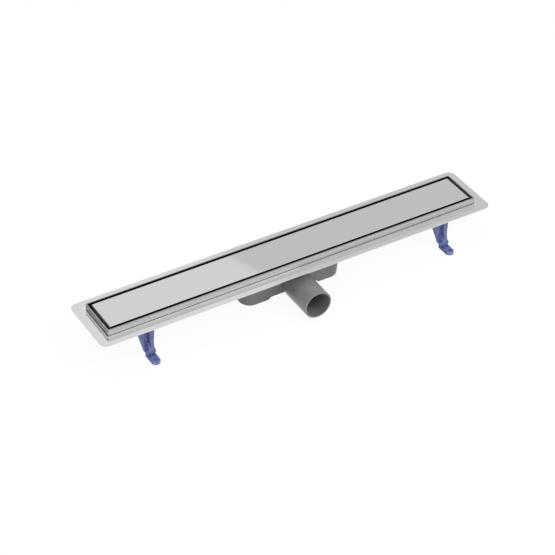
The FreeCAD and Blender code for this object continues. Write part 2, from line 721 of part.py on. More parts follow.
def make_leg(label, side, rear):
    """Moulded leg: a pad bolted under the trough and a tapering, front-open channel."""
    body = new_body(label)
    front = f"(-{HALF_WIDTH} + sizes.leg_edge_inset)"
    ankle = f"({front} - sizes.leg_ankle_out)"
    pad_under = f"({FLOOR_UNDER} - sizes.leg_pad_gauge)"
    shin_height = f"({CUFF_TOP} + sizes.leg_shin_rise)"
    profile = new_sketch(body, "profile", "YZ_Plane")
    outline(profile, [
        (front, FLOOR_UNDER),
        (f"{front} - sizes.leg_brow_out", f"{FLOOR_UNDER} - sizes.leg_brow_drop", "sizes.leg_brow_radius"),
        (f"{front} - sizes.leg_shin_out", shin_height, "sizes.leg_shin_radius"),
        (ankle, CUFF_TOP),
        (f"{ankle} + sizes.leg_ankle_depth", CUFF_TOP),
        (f"{front} + sizes.leg_top_depth", pad_under),
        (f"{front} + sizes.leg_pad_reach", pad_under),
        (f"{front} + sizes.leg_pad_reach", FLOOR_UNDER),
    ])
    pad(body, profile, "sizes.leg_top_breadth", symmetric=True)
    sides = new_sketch(body, "sides", "XZ_Plane")
    waist_height = f"{CUFF_TOP} + sizes.leg_waist_rise"
    for way in (1, -1):
        outline(sides, [
            (f"{way} * sizes.leg_top_breadth / 2", pad_under),
            (f"{way} * sizes.leg_waist_breadth / 2", waist_height, "sizes.leg_shin_radius"),
            (f"{way} * sizes.leg_ankle_breadth / 2", CUFF_TOP),
            (f"{way} * sizes.leg_top_breadth", CUFF_TOP),
            (f"{way} * sizes.leg_top_breadth", pad_under),
        ])
    pocket(body, sides, symmetric=True)
    groove = []
    for name, height, breadth, depth_from, depth in (
        ("groove_top", f"({pad_under})", "groove_top_breadth", front, "groove_top_depth"),
        ("groove_shin", shin_height, "groove_shin_breadth",
         f"({front} - sizes.leg_shin_out)", "groove_shin_depth"),
        ("groove_foot", f"({CUFF_TOP} + sizes.groove_foot_rise)", "groove_foot_breadth",
         ankle, "groove_foot_depth"),
    ):
        section = new_sketch(body, name, "XY_Plane", height)
        back = f"({depth_from} + sizes.{depth})"
        outer = f"(2 * {ankle})"
        half = f"(sizes.{breadth} / 2)"
        outline(section, [(f"-{half}", outer), (half, outer), (half, back), (f"-{half}", back)])
        groove.append(section)
    channel = body.newObject("PartDesign::SubtractiveLoft", f"{label}_channel")
    channel.Profile = groove[0]
    channel.Sections = groove[1:]
    channel.Ruled = True
    finish_feature(body, channel, -1)
    tang = new_sketch(body, "tang", "XY_Plane", CUFF_TOP)
    rectangle(tang, "(sizes.tang_breadth / 2)", "(sizes.tang_depth / 2)",
              middle=("0", f"-{TANG_REACH}"))
    pad(body, tang, f"{CUFF_TOP} - {SOLE} - sizes.socket_floor", reverse=True)
    hole = new_sketch(body, "hole", "XY_Plane", FLOOR_UNDER)
    circle(hole, ("0", STUD_PLACE), "sizes.stud_diameter + sizes.stud_clearance")
    pocket(body, hole, "2 * sizes.leg_pad_gauge")
    place_leg_piece(body, side, rear)
    return body


def make_shoe(label, side, rear):
    """Moulded shoe that clips on the leg's tang, with a round toe and a screw hole."""
    body = new_body(label)
    near = "(sizes.shoe_shift - sizes.shoe_breadth / 2)"
    far = "(sizes.shoe_shift + sizes.shoe_breadth / 2)"
    heel = f"(-{HALF_WIDTH} - sizes.shoe_heel_out)"
    toe = f"({heel} - sizes.shoe_length)"
    toe_round = "(sizes.shoe_breadth / 2 - sizes.toe_flat)"
    plan = new_sketch(body, "plan", "XY_Plane", SOLE)
    outline(plan, [
        (near, heel),
        (near, toe, toe_round),
        (far, toe, toe_round),
        (far, heel),
    ])
    sole = pad(body, plan, "sizes.shoe_thickness")
    dress(body, "Chamfer", sole, level_edge(SHOE_TOP), "sizes.shoe_edge_bevel")
    cuff = new_sketch(body, "cuff", "XY_Plane", f"{SHOE_TOP} - sizes.shoe_thickness / 2")
    rectangle(cuff, "(sizes.shoe_breadth / 2)", "(sizes.cuff_depth / 2)",
              middle=("sizes.shoe_shift", f"{heel} - sizes.cuff_depth / 2"))
    pad(body, cuff, "sizes.cuff_height + sizes.shoe_thickness / 2")
    spur = new_sketch(body, "spur", "XZ_Plane", TANG_REACH)
    outline(spur, [
        (f"{far} - sizes.spur_root", SHOE_TOP),
        (far, SHOE_TOP),
        (f"{far} + sizes.spur_reach", f"{CUFF_TOP} - sizes.spur_drop"),
        (f"{far} + sizes.spur_crest", f"{CUFF_TOP} + sizes.spur_rise"),
        (far, f"{CUFF_TOP} + sizes.spur_rise"),
        (far, CUFF_TOP),
        (f"{far} - sizes.spur_root", CUFF_TOP),
    ])
    pad(body, spur, "sizes.spur_depth", symmetric=True)
    socket = new_sketch(body, "socket", "XY_Plane", CUFF_TOP)
    rectangle(socket, "(sizes.tang_breadth / 2 + sizes.socket_clearance)",
              "(sizes.tang_depth / 2 + sizes.socket_clearance)", middle=("0", f"-{TANG_REACH}"))
    pocket(body, socket, f"{CUFF_TOP} - {SOLE} - sizes.socket_floor")
    hole = new_sketch(body, "hole", "XY_Plane", SHOE_TOP)
    circle(hole, ("sizes.shoe_shift", f"({toe} + sizes.shoe_breadth / 2)"), "sizes.shoe_hole_diameter")
    pocket(body, hole)
    place_leg_piece(body, side, rear)
    return body


def prism(label, sides, radius, length, height):
    """A prism that stands at a height. A small thread is drawn as one with many sides."""
    solid = doc.addObject("Part::Prism", label)
    solid.Polygon = sides
    solid.setExpression("Circumradius", radius)
    solid.setExpression("Height", length)
    solid.setExpression("Placement.Base.z", height)
    return solid


def combine(kind, label, base, tool):
    result = doc.addObject(kind, label)
    result.Base = base
    result.Tool = tool
    return result


def make_group(label, make_one, places):
    """One node of like fasteners, each a solid of its own at its own place."""
    members = []
    for index, place in enumerate(places, start=1):
        member = make_one(f"{label}_{index}")
        member.setExpression("Placement.Base.x", place[0])
        member.setExpression("Placement.Base.y", place[1])
        members.append(member)
    group = doc.addObject("Part::Compound", label)
    group.Label = label
    group.Links = members
    return group


def clamp_screw(label):
    """Hexagon-headed screw that pulls the deck up against the trough's well."""
    head = prism(f"{label}_head", 6, "sizes.screw_head_flats / 2 / cos(30 deg)",
                 "sizes.screw_head_height", WELL_TOP)
    shank = prism(f"{label}_shank", THREAD_SIDES, "sizes.screw_diameter / 2",
                  "sizes.screw_length", f"{WELL_TOP} - sizes.screw_length")
    return combine("Part::Fuse", label, head, shank)


def leg_stud(label):
    """Threaded stud welded under the trough."""
    return prism(label, THREAD_SIDES, "sizes.stud_diameter / 2",
                 "sizes.stud_length", f"{FLOOR_UNDER} - sizes.stud_length")


def leg_nut(label):
    height = f"{FLOOR_UNDER} - sizes.leg_pad_gauge - sizes.nut_height"
    hexagon = prism(f"{label}_hexagon", 6, "sizes.nut_flats / 2 / cos(30 deg)",
                    "sizes.nut_height", height)
    bore = prism(f"{label}_bore", THREAD_SIDES, "sizes.stud_diameter / 2", "sizes.nut_height", height)
    return combine("Part::Cut", label, hexagon, bore)


CORNERS = {
    "front_left": (-1, False),
    "front_right": (1, False),
    "rear_left": (-1, True),
    "rear_right": (1, True),
}
STUDS = [(f"{side} * {LEG_PLACE}", f"{-1 if rear else 1} * {STUD_PLACE}")
         for side, rear in CORNERS.values()]

PIECES = [
    make_trough(),
    make_flange(),
    make_cover(),
    make_gasket(),
    make_deck(),
    make_trap_body(),
    make_seal(),
    make_insert(),
    make_strainer(),
    make_group("clamp_screws", clamp_screw, screw_places()),
    make_group("leg_studs", leg_stud, STUDS),
    make_group("leg_nuts", leg_nut, STUDS),
]
BRIDGES = [
    (-1, OUTER_BRIDGE, False),
    (-1, INNER_BRIDGE, True),
    (1, INNER_BRIDGE, True),
    (1, OUTER_BRIDGE, False),
]
for index, (side, along, on_fall) in enumerate(BRIDGES, start=1):
    PIECES.append(make_bridge(f"cover_bridge_{index}", side, along, on_fall))
for name, (side, rear) in CORNERS.items():
    PIECES.append(make_leg(f"leg_{name}", side, rear))
    PIECES.append(make_shoe(f"shoe_{name}", side, rear))

doc.recompute()
for item in doc.Objects:
    if "Invalid" in item.State or "Error" in item.State:
        raise ValueError(f"{item.Label} failed: {item.State}")
for piece in PIECES:
    if piece.Shape.isNull() or not piece.Shape.isValid():
        raise ValueError(f"{piece.Label} has no valid shape")

os.makedirs("parts", exist_ok=True)
for piece in PIECES:
    piece.Shape.exportStep(f"parts/{piece.Label}.step")
    print(f"{piece.Label}: {len(piece.Shape.Solids)} solids, {piece.Shape.Volume:.0f} mm3")
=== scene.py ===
# %% [markdown]
# Finishing a linear shower drain.
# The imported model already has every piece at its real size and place. This lesson gives
# each surface its finish, rounds the edges that a press brake or a mould leaves round,
# adds the weld seam and the stud threads, and sets up a plain studio around the drain.

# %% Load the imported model
import json
import math

import bmesh
import bpy
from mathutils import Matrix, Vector


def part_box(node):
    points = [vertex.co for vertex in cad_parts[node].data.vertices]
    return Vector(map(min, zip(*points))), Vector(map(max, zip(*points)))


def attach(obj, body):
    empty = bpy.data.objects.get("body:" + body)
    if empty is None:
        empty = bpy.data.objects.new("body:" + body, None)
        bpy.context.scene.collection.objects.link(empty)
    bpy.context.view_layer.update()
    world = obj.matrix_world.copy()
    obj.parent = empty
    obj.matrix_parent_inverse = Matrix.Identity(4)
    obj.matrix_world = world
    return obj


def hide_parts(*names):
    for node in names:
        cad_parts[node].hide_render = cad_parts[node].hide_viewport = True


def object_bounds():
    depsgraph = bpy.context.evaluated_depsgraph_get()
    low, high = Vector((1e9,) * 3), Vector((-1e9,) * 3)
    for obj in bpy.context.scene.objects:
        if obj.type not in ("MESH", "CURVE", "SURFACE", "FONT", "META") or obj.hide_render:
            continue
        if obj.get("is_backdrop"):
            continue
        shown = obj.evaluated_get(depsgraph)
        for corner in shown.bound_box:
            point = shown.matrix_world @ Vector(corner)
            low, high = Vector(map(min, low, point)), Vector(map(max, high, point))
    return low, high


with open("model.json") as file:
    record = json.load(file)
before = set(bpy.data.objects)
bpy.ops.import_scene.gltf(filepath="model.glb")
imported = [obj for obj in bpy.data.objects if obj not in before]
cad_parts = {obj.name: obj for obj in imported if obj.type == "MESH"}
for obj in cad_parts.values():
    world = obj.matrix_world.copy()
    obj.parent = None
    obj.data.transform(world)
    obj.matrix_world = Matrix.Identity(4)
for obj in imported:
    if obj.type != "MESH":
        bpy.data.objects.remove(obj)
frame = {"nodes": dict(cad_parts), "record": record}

cad_low, cad_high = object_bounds()
nodes = frame["nodes"]
print("nodes", len(nodes), "size in mm", [round(1000 * v) for v in cad_high - cad_low])

# %% [markdown]
# The levels and sizes that later steps need are read from the model itself, so a longer
# drain or a deeper trap moves everything that is added here. One millimetre is written
# as MM, because the drain's own drawings are in millimetres and Blender works in metres.
# Heights count from the top of the cover and the raised frame, which is the model's zero.

# %% Sizes read from the model
MM = 0.001
trough_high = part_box("trough")[1]
flange_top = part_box("flange")[1].z
cover_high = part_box("cover")[1]
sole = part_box("shoe_front_left")[0].z
print("frame stands above the flange by", round((trough_high.z - flange_top) / MM, 1), "mm")

# %% [markdown]
# The photograph is a long-lens product shot: the drain's long edges hardly converge.
# The camera's place and lens were solved from the corners of the flange and of the raised
# frame, and then set more finely by the lines of the slots and the flange, so they are
# plain numbers here. The picture is square.

# %% Camera
CAMERA_PLACE = Vector((-1364.3, -2275.0, 2008.9)) * MM
CAMERA_TARGET = Vector((-17.7, 0.0, -52.6)) * MM
CAMERA_LENS = 130.53
CAMERA_SENSOR = 36.0


def add_object(name, data):
    """A new object of the data, linked to the scene."""
    thing = bpy.data.objects.new(name, data)
    bpy.context.scene.collection.objects.link(thing)
    return thing


camera_data = bpy.data.cameras.new("camera")
camera_data.lens = CAMERA_LENS
camera_data.sensor_width = CAMERA_SENSOR
camera_data.sensor_fit = "HORIZONTAL"
camera = add_object("camera", camera_data)
camera.location = CAMERA_PLACE
camera.rotation_euler = (CAMERA_TARGET - CAMERA_PLACE).to_track_quat("-Z", "Y").to_euler()
bpy.context.scene.camera = camera
bpy.context.scene.view_settings.view_transform = "Standard"
print("camera", round((CAMERA_TARGET - CAMERA_PLACE).length, 3), "m away")

# %% [markdown]
# Node trees get long when every node takes four lines, so one helper makes a node, sets
# its options and fills its inputs. An input takes a plain value or another node's output.
# Colours are linear light, and their last number is how opaque they are.

# %% Helpers for nodes and colours


def put(tree, kind, inputs=None, **options):
    """Add a node. inputs maps a socket's name or number to a value or to an output."""
    node = tree.nodes.new(kind)
    for option, value in options.items():
        setattr(node, option, value)
    for socket, value in (inputs or {}).items():
        if isinstance(value, bpy.types.NodeSocket):
            tree.links.new(value, node.inputs[socket])
        else:
            node.inputs[socket].default_value = value
    return node


def rgb(red, green, blue):
    """An opaque colour."""
    return (red, green, blue, 1.0)


def grey(value):
    """An opaque grey."""
    return rgb(value, value, value)


WHITE = grey(1.0)
print("white is", WHITE)

# %% [markdown]
# A mask says where a finish changes: it is one where the change is full and zero where
# there is none. A mask is made of small sums on a place, a direction or a noise. Each
# kind of sum gets a short name here, so that the finishes further down are easy to read.

# %% Helpers for sums and masks


def arithmetic(tree, operation, first, second=0.0):
    """The output of a Math node."""
    return put(tree, "ShaderNodeMath", {0: first, 1: second}, operation=operation).outputs[0]


def product(tree, *values):
    """All the values multiplied."""
    result = values[0]
    for value in values[1:]:
        result = arithmetic(tree, "MULTIPLY", result, value)
    return result


def add_shares(tree, base, *shares):
    """A base value, and on top of it each mask times its own weight."""
    result = base
    for mask, weight in shares:
        result = arithmetic(tree, "ADD", result, product(tree, mask, weight))
    return result


def size_of(tree, value):
    """The value without its sign."""
    return arithmetic(tree, "ABSOLUTE", value)


def is_over(tree, value, limit):
    """One where the value is more than the limit, zero elsewhere."""
    return arithmetic(tree, "GREATER_THAN", value, limit)


def is_under(tree, value, limit):
    """One where the value is less than the limit, zero elsewhere."""
    return arithmetic(tree, "LESS_THAN", value, limit)


def opposite(tree, mask):
    """Zero where the mask is one, and one where it is zero."""
    return arithmetic(tree, "SUBTRACT", 1.0, mask)


def remap(tree, value, start, end, low=0.0, high=1.0):
    """A value's smooth passage from low at start to high at end."""
    node = put(tree, "ShaderNodeMapRange", {"Value": value, "From Min": start, "From Max": end,
                                            "To Min": low, "To Max": high},
               interpolation_type="SMOOTHSTEP")
    return node.outputs[0]


def spread(tree, noise, reach):
    """Noise keeps near a half. This draws what lies within reach of it out to 0 and 1."""
    return remap(tree, noise, 0.5 - reach, 0.5 + reach)


# %% [markdown]
# Bare steel has hardly any colour of its own: what shows is the room. So the room is
# the first thing to build. A light tent is even, but not quite. A bright panel behind
# the drain ends at a sharp edge, and the cover mirrors that edge as a faint diagonal
# line. The tent is brightest in front on the right, and dimmest behind on the left,
# which is why the short wall of the raised frame is the darkest metal in the picture.
# Each zone is a lobe round one direction of the world.

# %% The light tent
TENT = 0.82
TENT_LOBES = [
    # direction, cosine where the lobe starts, cosine where it is full, gain
    ((0.139, 0.564, 0.814), 0.9392, 0.9402, 0.19),
    ((0.45, -0.66, 0.60), 0.78, 0.95, 0.52),
    ((-0.45, 0.68, 0.58), 0.76, 0.96, -0.42),
]

world = bpy.data.worlds.new("light_tent")
world.use_nodes = True
bpy.context.scene.world = world
tent = world.node_tree
tent.nodes.clear()
direction = put(tent, "ShaderNodeTexCoord").outputs["Generated"]
level = TENT
for aim, start, end, gain in TENT_LOBES:
    toward = put(tent, "ShaderNodeVectorMath", {0: direction, 1: Vector(aim).normalized()},
                 operation="DOT_PRODUCT").outputs["Value"]
    level = arithmetic(tent, "ADD", remap(tent, toward, start, end, 0.0, gain), level)
studio = put(tent, "ShaderNodeBackground", {"Color": level, "Strength": 1.0})
white = put(tent, "ShaderNodeBackground", {"Color": WHITE, "Strength": 1.0})
seen = put(tent, "ShaderNodeLightPath").outputs["Is Camera Ray"]
backdrop = put(tent, "ShaderNodeMixShader", {0: seen, 1: studio.outputs[0], 2: white.outputs[0]})
put(tent, "ShaderNodeOutputWorld", {"Surface": backdrop.outputs[0]})
print("tent level", TENT, "with", len(TENT_LOBES), "lobes")

# %% [markdown]
# Two soft lamps give the plastic its shape and the floor its faint shadow. A large area
# lamp far away is softer than a small one close by, and its light falls off less along
# the drain. Mirror-like steel would show each lamp as a white disk, so glossy rays pass
# through them, and the steel mirrors the tent alone.

# %% Soft lamps


def soft_lamp(name, place, size, power):
    """A round lamp that looks at the drain. Place and size are in metres, power in watts."""
    data = bpy.data.lights.new(name, "AREA")
    data.shape = "DISK"
    data.size = size
    data.energy = power
    lamp = add_object(name, data)
    lamp.location = place
    lamp.rotation_euler = (-Vector(place)).to_track_quat("-Z", "Y").to_euler()
    lamp.visible_glossy = False
    print(name, "of", power, "W,", round(Vector(place).length, 2), "m away")


soft_lamp("key_lamp", place=(1.3, -2.2, 2.6), size=1.5, power=26.0)
soft_lamp("top_lamp", place=(-0.6, 0.5, 3.0), size=1.8, power=16.0)

# %% [markdown]
# The floor is a white sheet at the level of the soles. In front of the camera it is
# nearly as white as the background, and a small share of plain diffuse white keeps the
# drain's soft shadow on it. Mirror-like steel sees the same white sheet.

# %% Floor
FLOOR_SIZE = 30.0
FLOOR_WHITE = grey(0.94)
FLOOR_GLOW = 0.94


def make_floor():
    """The sheet, which glows for the camera and for mirrors and is plain white elsewhere."""
    mesh = bpy.data.meshes.new("floor")
    half = FLOOR_SIZE / 2
    corners = [(-half, -half, sole), (half, -half, sole), (half, half, sole), (-half, half, sole)]
    mesh.from_pydata(corners, [], [(0, 1, 2, 3)])
    floor = add_object("floor", mesh)
    material = bpy.data.materials.new("white_sheet")
    material.use_nodes = True
    tree = material.node_tree
    tree.nodes.clear()
    sheet = put(tree, "ShaderNodeBsdfDiffuse", {"Color": FLOOR_WHITE})
    glow = put(tree, "ShaderNodeEmission", {"Color": WHITE, "Strength": 1.0})
    path = put(tree, "ShaderNodeLightPath")
    shown = arithmetic(tree, "MAXIMUM", path.outputs["Is Camera Ray"], path.outputs["Is Glossy Ray"])
    share = product(tree, shown, FLOOR_GLOW)
    mixed = put(tree, "ShaderNodeMixShader", {0: share, 1: sheet.outputs[0], 2: glow.outputs[0]})
    put(tree, "ShaderNodeOutputMaterial", {"Surface": mixed.outputs[0]})
    mesh.materials.append(material)
    floor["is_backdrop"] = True


make_floor()
print("floor at", round(sole / MM, 1), "mm")

# %% [markdown]
# Several finishes share an effect, and each effect is a node group that is built once.
# The first is the grain of rolled or brushed sheet. Rolling and brushing both leave
# scratches that run one way, thousands of times longer than they are wide. Noise that is
# stretched along that way gives the same look at any distance. A second, much larger
# noise is the faint cloudiness that handling and pickling leave.

# %% Group: sheet grain


def own_place(tree):
    """The point's place in its object, which is its place in the drain's own frame."""
    return put(tree, "ShaderNodeTexCoord").outputs["Object"]


def new_group(name, inputs, outputs):
    """An empty shader group with its input and output nodes."""
    group = bpy.data.node_groups.new(name, "ShaderNodeTree")
    for title, kind, value in inputs:
        socket = group.interface.new_socket(title, in_out="INPUT", socket_type=kind)
        socket.default_value = value
    for title, kind in outputs:
        group.interface.new_socket(title, in_out="OUTPUT", socket_type=kind)
    return group, group.nodes.new("NodeGroupInput"), group.nodes.new("NodeGroupOutput")


def make_sheet_grain():
    """Streaks drawn out along the sheet, and clouds. Both scales are per metre."""
    group, given, result = new_group(
        "sheet_grain",
        [("Stretch", "NodeSocketVector", (10.0, 1500.0, 1500.0)),
         ("Cloud Scale", "NodeSocketFloat", 9.0)],
        [("Streaks", "NodeSocketFloat"), ("Clouds", "NodeSocketFloat")],
    )
    place = own_place(group)
    drawn = put(group, "ShaderNodeVectorMath", {0: place, 1: given.outputs["Stretch"]},
                operation="MULTIPLY")
    fine = put(group, "ShaderNodeTexNoise", {"Vector": drawn.outputs[0], "Scale": 1.0,
                                             "Detail": 5.0, "Roughness": 0.65})
    soft = put(group, "ShaderNodeTexNoise", {"Vector": place, "Scale": given.outputs["Cloud Scale"],
                                             "Detail": 3.0, "Roughness": 0.5})
    group.links.new(fine.outputs[0], result.inputs["Streaks"])
    group.links.new(soft.outputs[0], result.inputs["Clouds"])
    return group


sheet_grain = make_sheet_grain()
print("group", sheet_grain.name)

# %% [markdown]
# No edge is truly sharp. A sheared sheet has a small burr that is rubbed off, and a
# moulding has a radius, and both catch light as a thin line. The Bevel node bends the
# shading normal near an edge without changing the mesh. Comparing the bent normal with
# the plain one also tells where the edges are, and the cover and the flange are painted
# lighter there, a painted highlight. The comparison is a cosine: one on a flat face, and less towards
# an edge.

# %% Group: eased edges
COSINE_AT_START = 0.995
COSINE_ON_EDGE = 0.85


def make_eased_edges():
    """The bent normal, and a mask of the edges."""
    group, given, result = new_group(
        "eased_edges",
        [("Radius", "NodeSocketFloat", 0.3 * MM)],
        [("Normal", "NodeSocketVector"), ("Edge", "NodeSocketFloat")],
    )
    bent = put(group, "ShaderNodeBevel", {"Radius": given.outputs["Radius"]}, samples=6)
    plain = put(group, "ShaderNodeNewGeometry").outputs["Normal"]
    along = put(group, "ShaderNodeVectorMath", {0: bent.outputs[0], 1: plain},
                operation="DOT_PRODUCT")
    edge = remap(group, along.outputs["Value"], COSINE_AT_START, COSINE_ON_EDGE)
    group.links.new(bent.outputs[0], result.inputs["Normal"])
    group.links.new(edge, result.inputs["Edge"])
    return group


eased_edges = make_eased_edges()
print("group", eased_edges.name)

# %% [markdown]
# A moulded piece copies the skin of its tool: a fine spark-eroded texture of grains about
# half a millimetre across, and faint bands where the melt flowed and cooled.

# %% Group: moulded skin


def make_moulded_skin():
    """The tool's grain, and the bands of the melt's flow. Both scales are per metre."""
    group, given, result = new_group(
        "moulded_skin",
        [("Grain Scale", "NodeSocketFloat", 1600.0), ("Flow Scale", "NodeSocketFloat", 30.0)],
        [("Grain", "NodeSocketFloat"), ("Flow", "NodeSocketFloat")],
    )
    place = own_place(group)
    grain = put(group, "ShaderNodeTexNoise", {"Vector": place, "Scale": given.outputs["Grain Scale"],
                                              "Detail": 2.0, "Roughness": 0.55})
    flow = put(group, "ShaderNodeTexNoise", {"Vector": place, "Scale": given.outputs["Flow Scale"],
                                             "Detail": 3.0, "Roughness": 0.5, "Distortion": 0.6})
    group.links.new(grain.outputs[0], result.inputs["Grain"])
    group.links.new(flow.outputs[0], result.inputs["Flow"])
    return group


moulded_skin = make_moulded_skin()
print("group", moulded_skin.name)

# %% [markdown]
# Every finish starts the same way: a new material, its Principled shader, and the eased
# edges. It also ends the same way: a colour, a roughness, and a bump of the grain on top
# of the eased normal, so that both work together. In between, colours are painted one
# over another through masks. What a mask needs to know is where the point is and which
# way its face looks.

# %% Helpers for finishes


def use_group(tree, group, values):
    """A group's node, with its inputs filled."""
    return put(tree, "ShaderNodeGroup", values, node_tree=group)


def new_finish(name, edge_radius):
    """A material with its shader and with the eased-edge group in place."""
    material = bpy.data.materials.new(name)
    material.use_nodes = True
    tree = material.node_tree
    edges = use_group(tree, eased_edges, {"Radius": edge_radius})
    return material, tree, tree.nodes["Principled BSDF"], edges


def blend_colour(tree, share, first, second):
    """A colour that passes from first to second with a mask."""
    node = put(tree, "ShaderNodeMix", {"Factor": share}, data_type="RGBA")
    for slot, value in (("A", first), ("B", second)):
        socket = [s for s in node.inputs if s.name == slot and s.type == "RGBA"][0]
        if isinstance(value, bpy.types.NodeSocket):
            tree.links.new(value, socket)
        else:
            socket.default_value = value
    return [s for s in node.outputs if s.type == "RGBA"][0]


def paint(tree, tone, colour, mask, share=1.0):
    """Lay a colour over a tone where the mask is, as a full coat or as a share of one."""
    return blend_colour(tree, product(tree, mask, share), tone, colour)


def surface(tree, shader, tone, rough, metallic):
    """Feed the shader its colour and its roughness, and say if it is metal."""
    tree.links.new(tone, shader.inputs["Base Color"])
    tree.links.new(rough, shader.inputs["Roughness"])
    shader.inputs["Metallic"].default_value = metallic


def raise_grain(tree, shader, edges, height, distance, strength):
    """Feed the shader a bump of the height on top of the eased normal."""
    bump = put(tree, "ShaderNodeBump", {"Height": height, "Normal": edges.outputs["Normal"],
                                        "Distance": distance, "Strength": strength})
    tree.links.new(bump.outputs[0], shader.inputs["Normal"])


def axes(tree, vector):
    """The x, y and z of a place or a direction."""
    apart = put(tree, "ShaderNodeSeparateXYZ", {0: vector})
    return apart.outputs["X"], apart.outputs["Y"], apart.outputs["Z"]


def face_way(tree):
    """The direction that the mesh's own face looks in, without any bump or rounding."""
    return put(tree, "ShaderNodeNewGeometry").outputs["True Normal"]


# %% [markdown]
# The cover is finely brushed along its length and then rolled smooth, so it is nearly a
# mirror: the tent's bright panel ends in a crisp diagonal line on it. The scratches tint
# the metal more than they bend its light. Its edges are painted lighter, a painted highlight.
# The folded sides that hang in the slots were never brushed, and they are painted nearly
# black, a painted shade, so that the slots read as black lines. At the two short ends the
# folds are painted a pale grey instead, and the slot at the left end shows a grey fold.

# %% Finish: brushed cover
COVER_TONES = (rgb(0.605, 0.605, 0.600), rgb(0.640, 0.640, 0.636))
COVER_EDGE_HIGHLIGHT = grey(0.92)
COVER_ROUGH = 0.014
FOLD_SHADE_TONES = (grey(0.020), grey(0.040))
FOLD_SHADE_START = 0.2 * MM
FOLD_ROUGH = 0.45
END_FOLD = 1.0 * MM
END_FOLD_PAINTED_TONE = grey(0.80)


def make_cover_finish():
    """Brushed on top, painted nearly black on the folds as painted shade, and pale grey on the folds at
    the two ends.
    """
    material, tree, shader, edges = new_finish("brushed_cover", edge_radius=1.3 * MM)
    grain = use_group(tree, sheet_grain, {"Stretch": (9.0, 2600.0, 2600.0), "Cloud Scale": 7.0})
    streaks = spread(tree, grain.outputs["Streaks"], reach=0.20)
    clouds = spread(tree, grain.outputs["Clouds"], reach=0.15)
    x, _, z = axes(tree, own_place(tree))
    fold_shade = remap(tree, z, -FOLD_SHADE_START, -2 * FOLD_SHADE_START)
    at_end = is_over(tree, size_of(tree, x), cover_high.x - END_FOLD)
    tone = blend_colour(tree, streaks, *COVER_TONES)
    # The edges are painted lighter: a painted highlight.
    tone = paint(tree, tone, COVER_EDGE_HIGHLIGHT, edges.outputs["Edge"], share=0.7)
    # The folds are painted nearly black, a painted shade, and pale grey at the two short ends.
    painted_shade = blend_colour(tree, clouds, *FOLD_SHADE_TONES)
    painted_shade = paint(tree, painted_shade, END_FOLD_PAINTED_TONE, at_end)
    tone = paint(tree, tone, painted_shade, fold_shade)
    rough = add_shares(tree, COVER_ROUGH, (streaks, 0.008), (clouds, 0.008), (fold_shade, FOLD_ROUGH))
    surface(tree, shader, tone, rough, metallic=1.0)
    raise_grain(tree, shader, edges, grain.outputs["Streaks"], distance=0.001 * MM, strength=0.3)
    return material


cover_finish = make_cover_finish()
print("finish", cover_finish.name)

# %% [markdown]
# The flange keeps the bright finish of cold-rolled sheet, almost a mirror: the raised
# frame's wall shows upside down in it. Its rolling lines are far finer than brushing and
# only just tint the reflection. Its edges are painted lighter, a painted highlight. Beside
# the two short walls the weld was dressed with a belt, which leaves a narrow matt strip that
# mirrors nothing. The strip is painted nearly white at the left end, a painted highlight of
# the light on the bead, and a darker grey at the right end.

# %% Finish: rolled flange
FLANGE_TONES = (rgb(0.640, 0.640, 0.635), rgb(0.685, 0.685, 0.680))
FLANGE_EDGE_HIGHLIGHT = grey(0.82)
FLANGE_ROUGH = 0.04
DRESSED_STRIP_PAINTED_TONES = (rgb(0.93, 0.93, 0.925), rgb(0.76, 0.76, 0.755))
DRESSED_BREADTH = 5.0 * MM
DRESSED_ROUGH = 0.50


def dressed_strips(tree, x, y):
    """A mask of the strips that the belt left beside the two short walls."""
    from_end = arithmetic(tree, "SUBTRACT", size_of(tree, x), trough_high.x)
    beside = is_under(tree, size_of(tree, y), trough_high.y + DRESSED_BREADTH)
    return product(tree, beside, remap(tree, from_end, DRESSED_BREADTH, 0.8 * DRESSED_BREADTH))


def make_flange_finish():
    """Rolled bright, and matt beside the short walls."""
    material, tree, shader, edges = new_finish("rolled_flange", edge_radius=0.35 * MM)
    grain = use_group(tree, sheet_grain, {"Stretch": (14.0, 900.0, 900.0), "Cloud Scale": 11.0})
    streaks = spread(tree, grain.outputs["Streaks"], reach=0.18)
    clouds = spread(tree, grain.outputs["Clouds"], reach=0.15)
    x, y, _ = axes(tree, own_place(tree))
    dressed = dressed_strips(tree, x, y)
    right_end = is_over(tree, x, 0.0)
    tone = blend_colour(tree, streaks, *FLANGE_TONES)
    # The edges are painted lighter: a painted highlight.
    tone = paint(tree, tone, FLANGE_EDGE_HIGHLIGHT, edges.outputs["Edge"], share=0.4)
    # The matt strips are painted nearly white on the left and darker grey on the right: painted light.
    tone = paint(tree, tone, blend_colour(tree, right_end, *DRESSED_STRIP_PAINTED_TONES), dressed)
    rough = add_shares(tree, FLANGE_ROUGH, (clouds, 0.02), (streaks, 0.02), (dressed, DRESSED_ROUGH))
    surface(tree, shader, tone, rough, metallic=1.0)
    raise_grain(tree, shader, edges, grain.outputs["Streaks"], distance=0.01 * MM, strength=0.15)
    return material


flange_finish = make_flange_finish()
print("finish", flange_finish.name)

# %% [markdown]
# The trough has two faces. Its outside is the same bright sheet as the flange. Its
# inside is never polished, and it is painted nearly black, a painted shade, which is why
# the slots round the cover read as black lines. The inside of the two end walls is painted
# a lighter grey. One mask tells the two apart by place: between the inner walls, below the rim, and not
# facing down.

# %% Mask: inside of the trough
SHEET_GAUGE = 1.5 * MM
RIM_DEPTH = 0.3 * MM
FACES_DOWN = -0.5


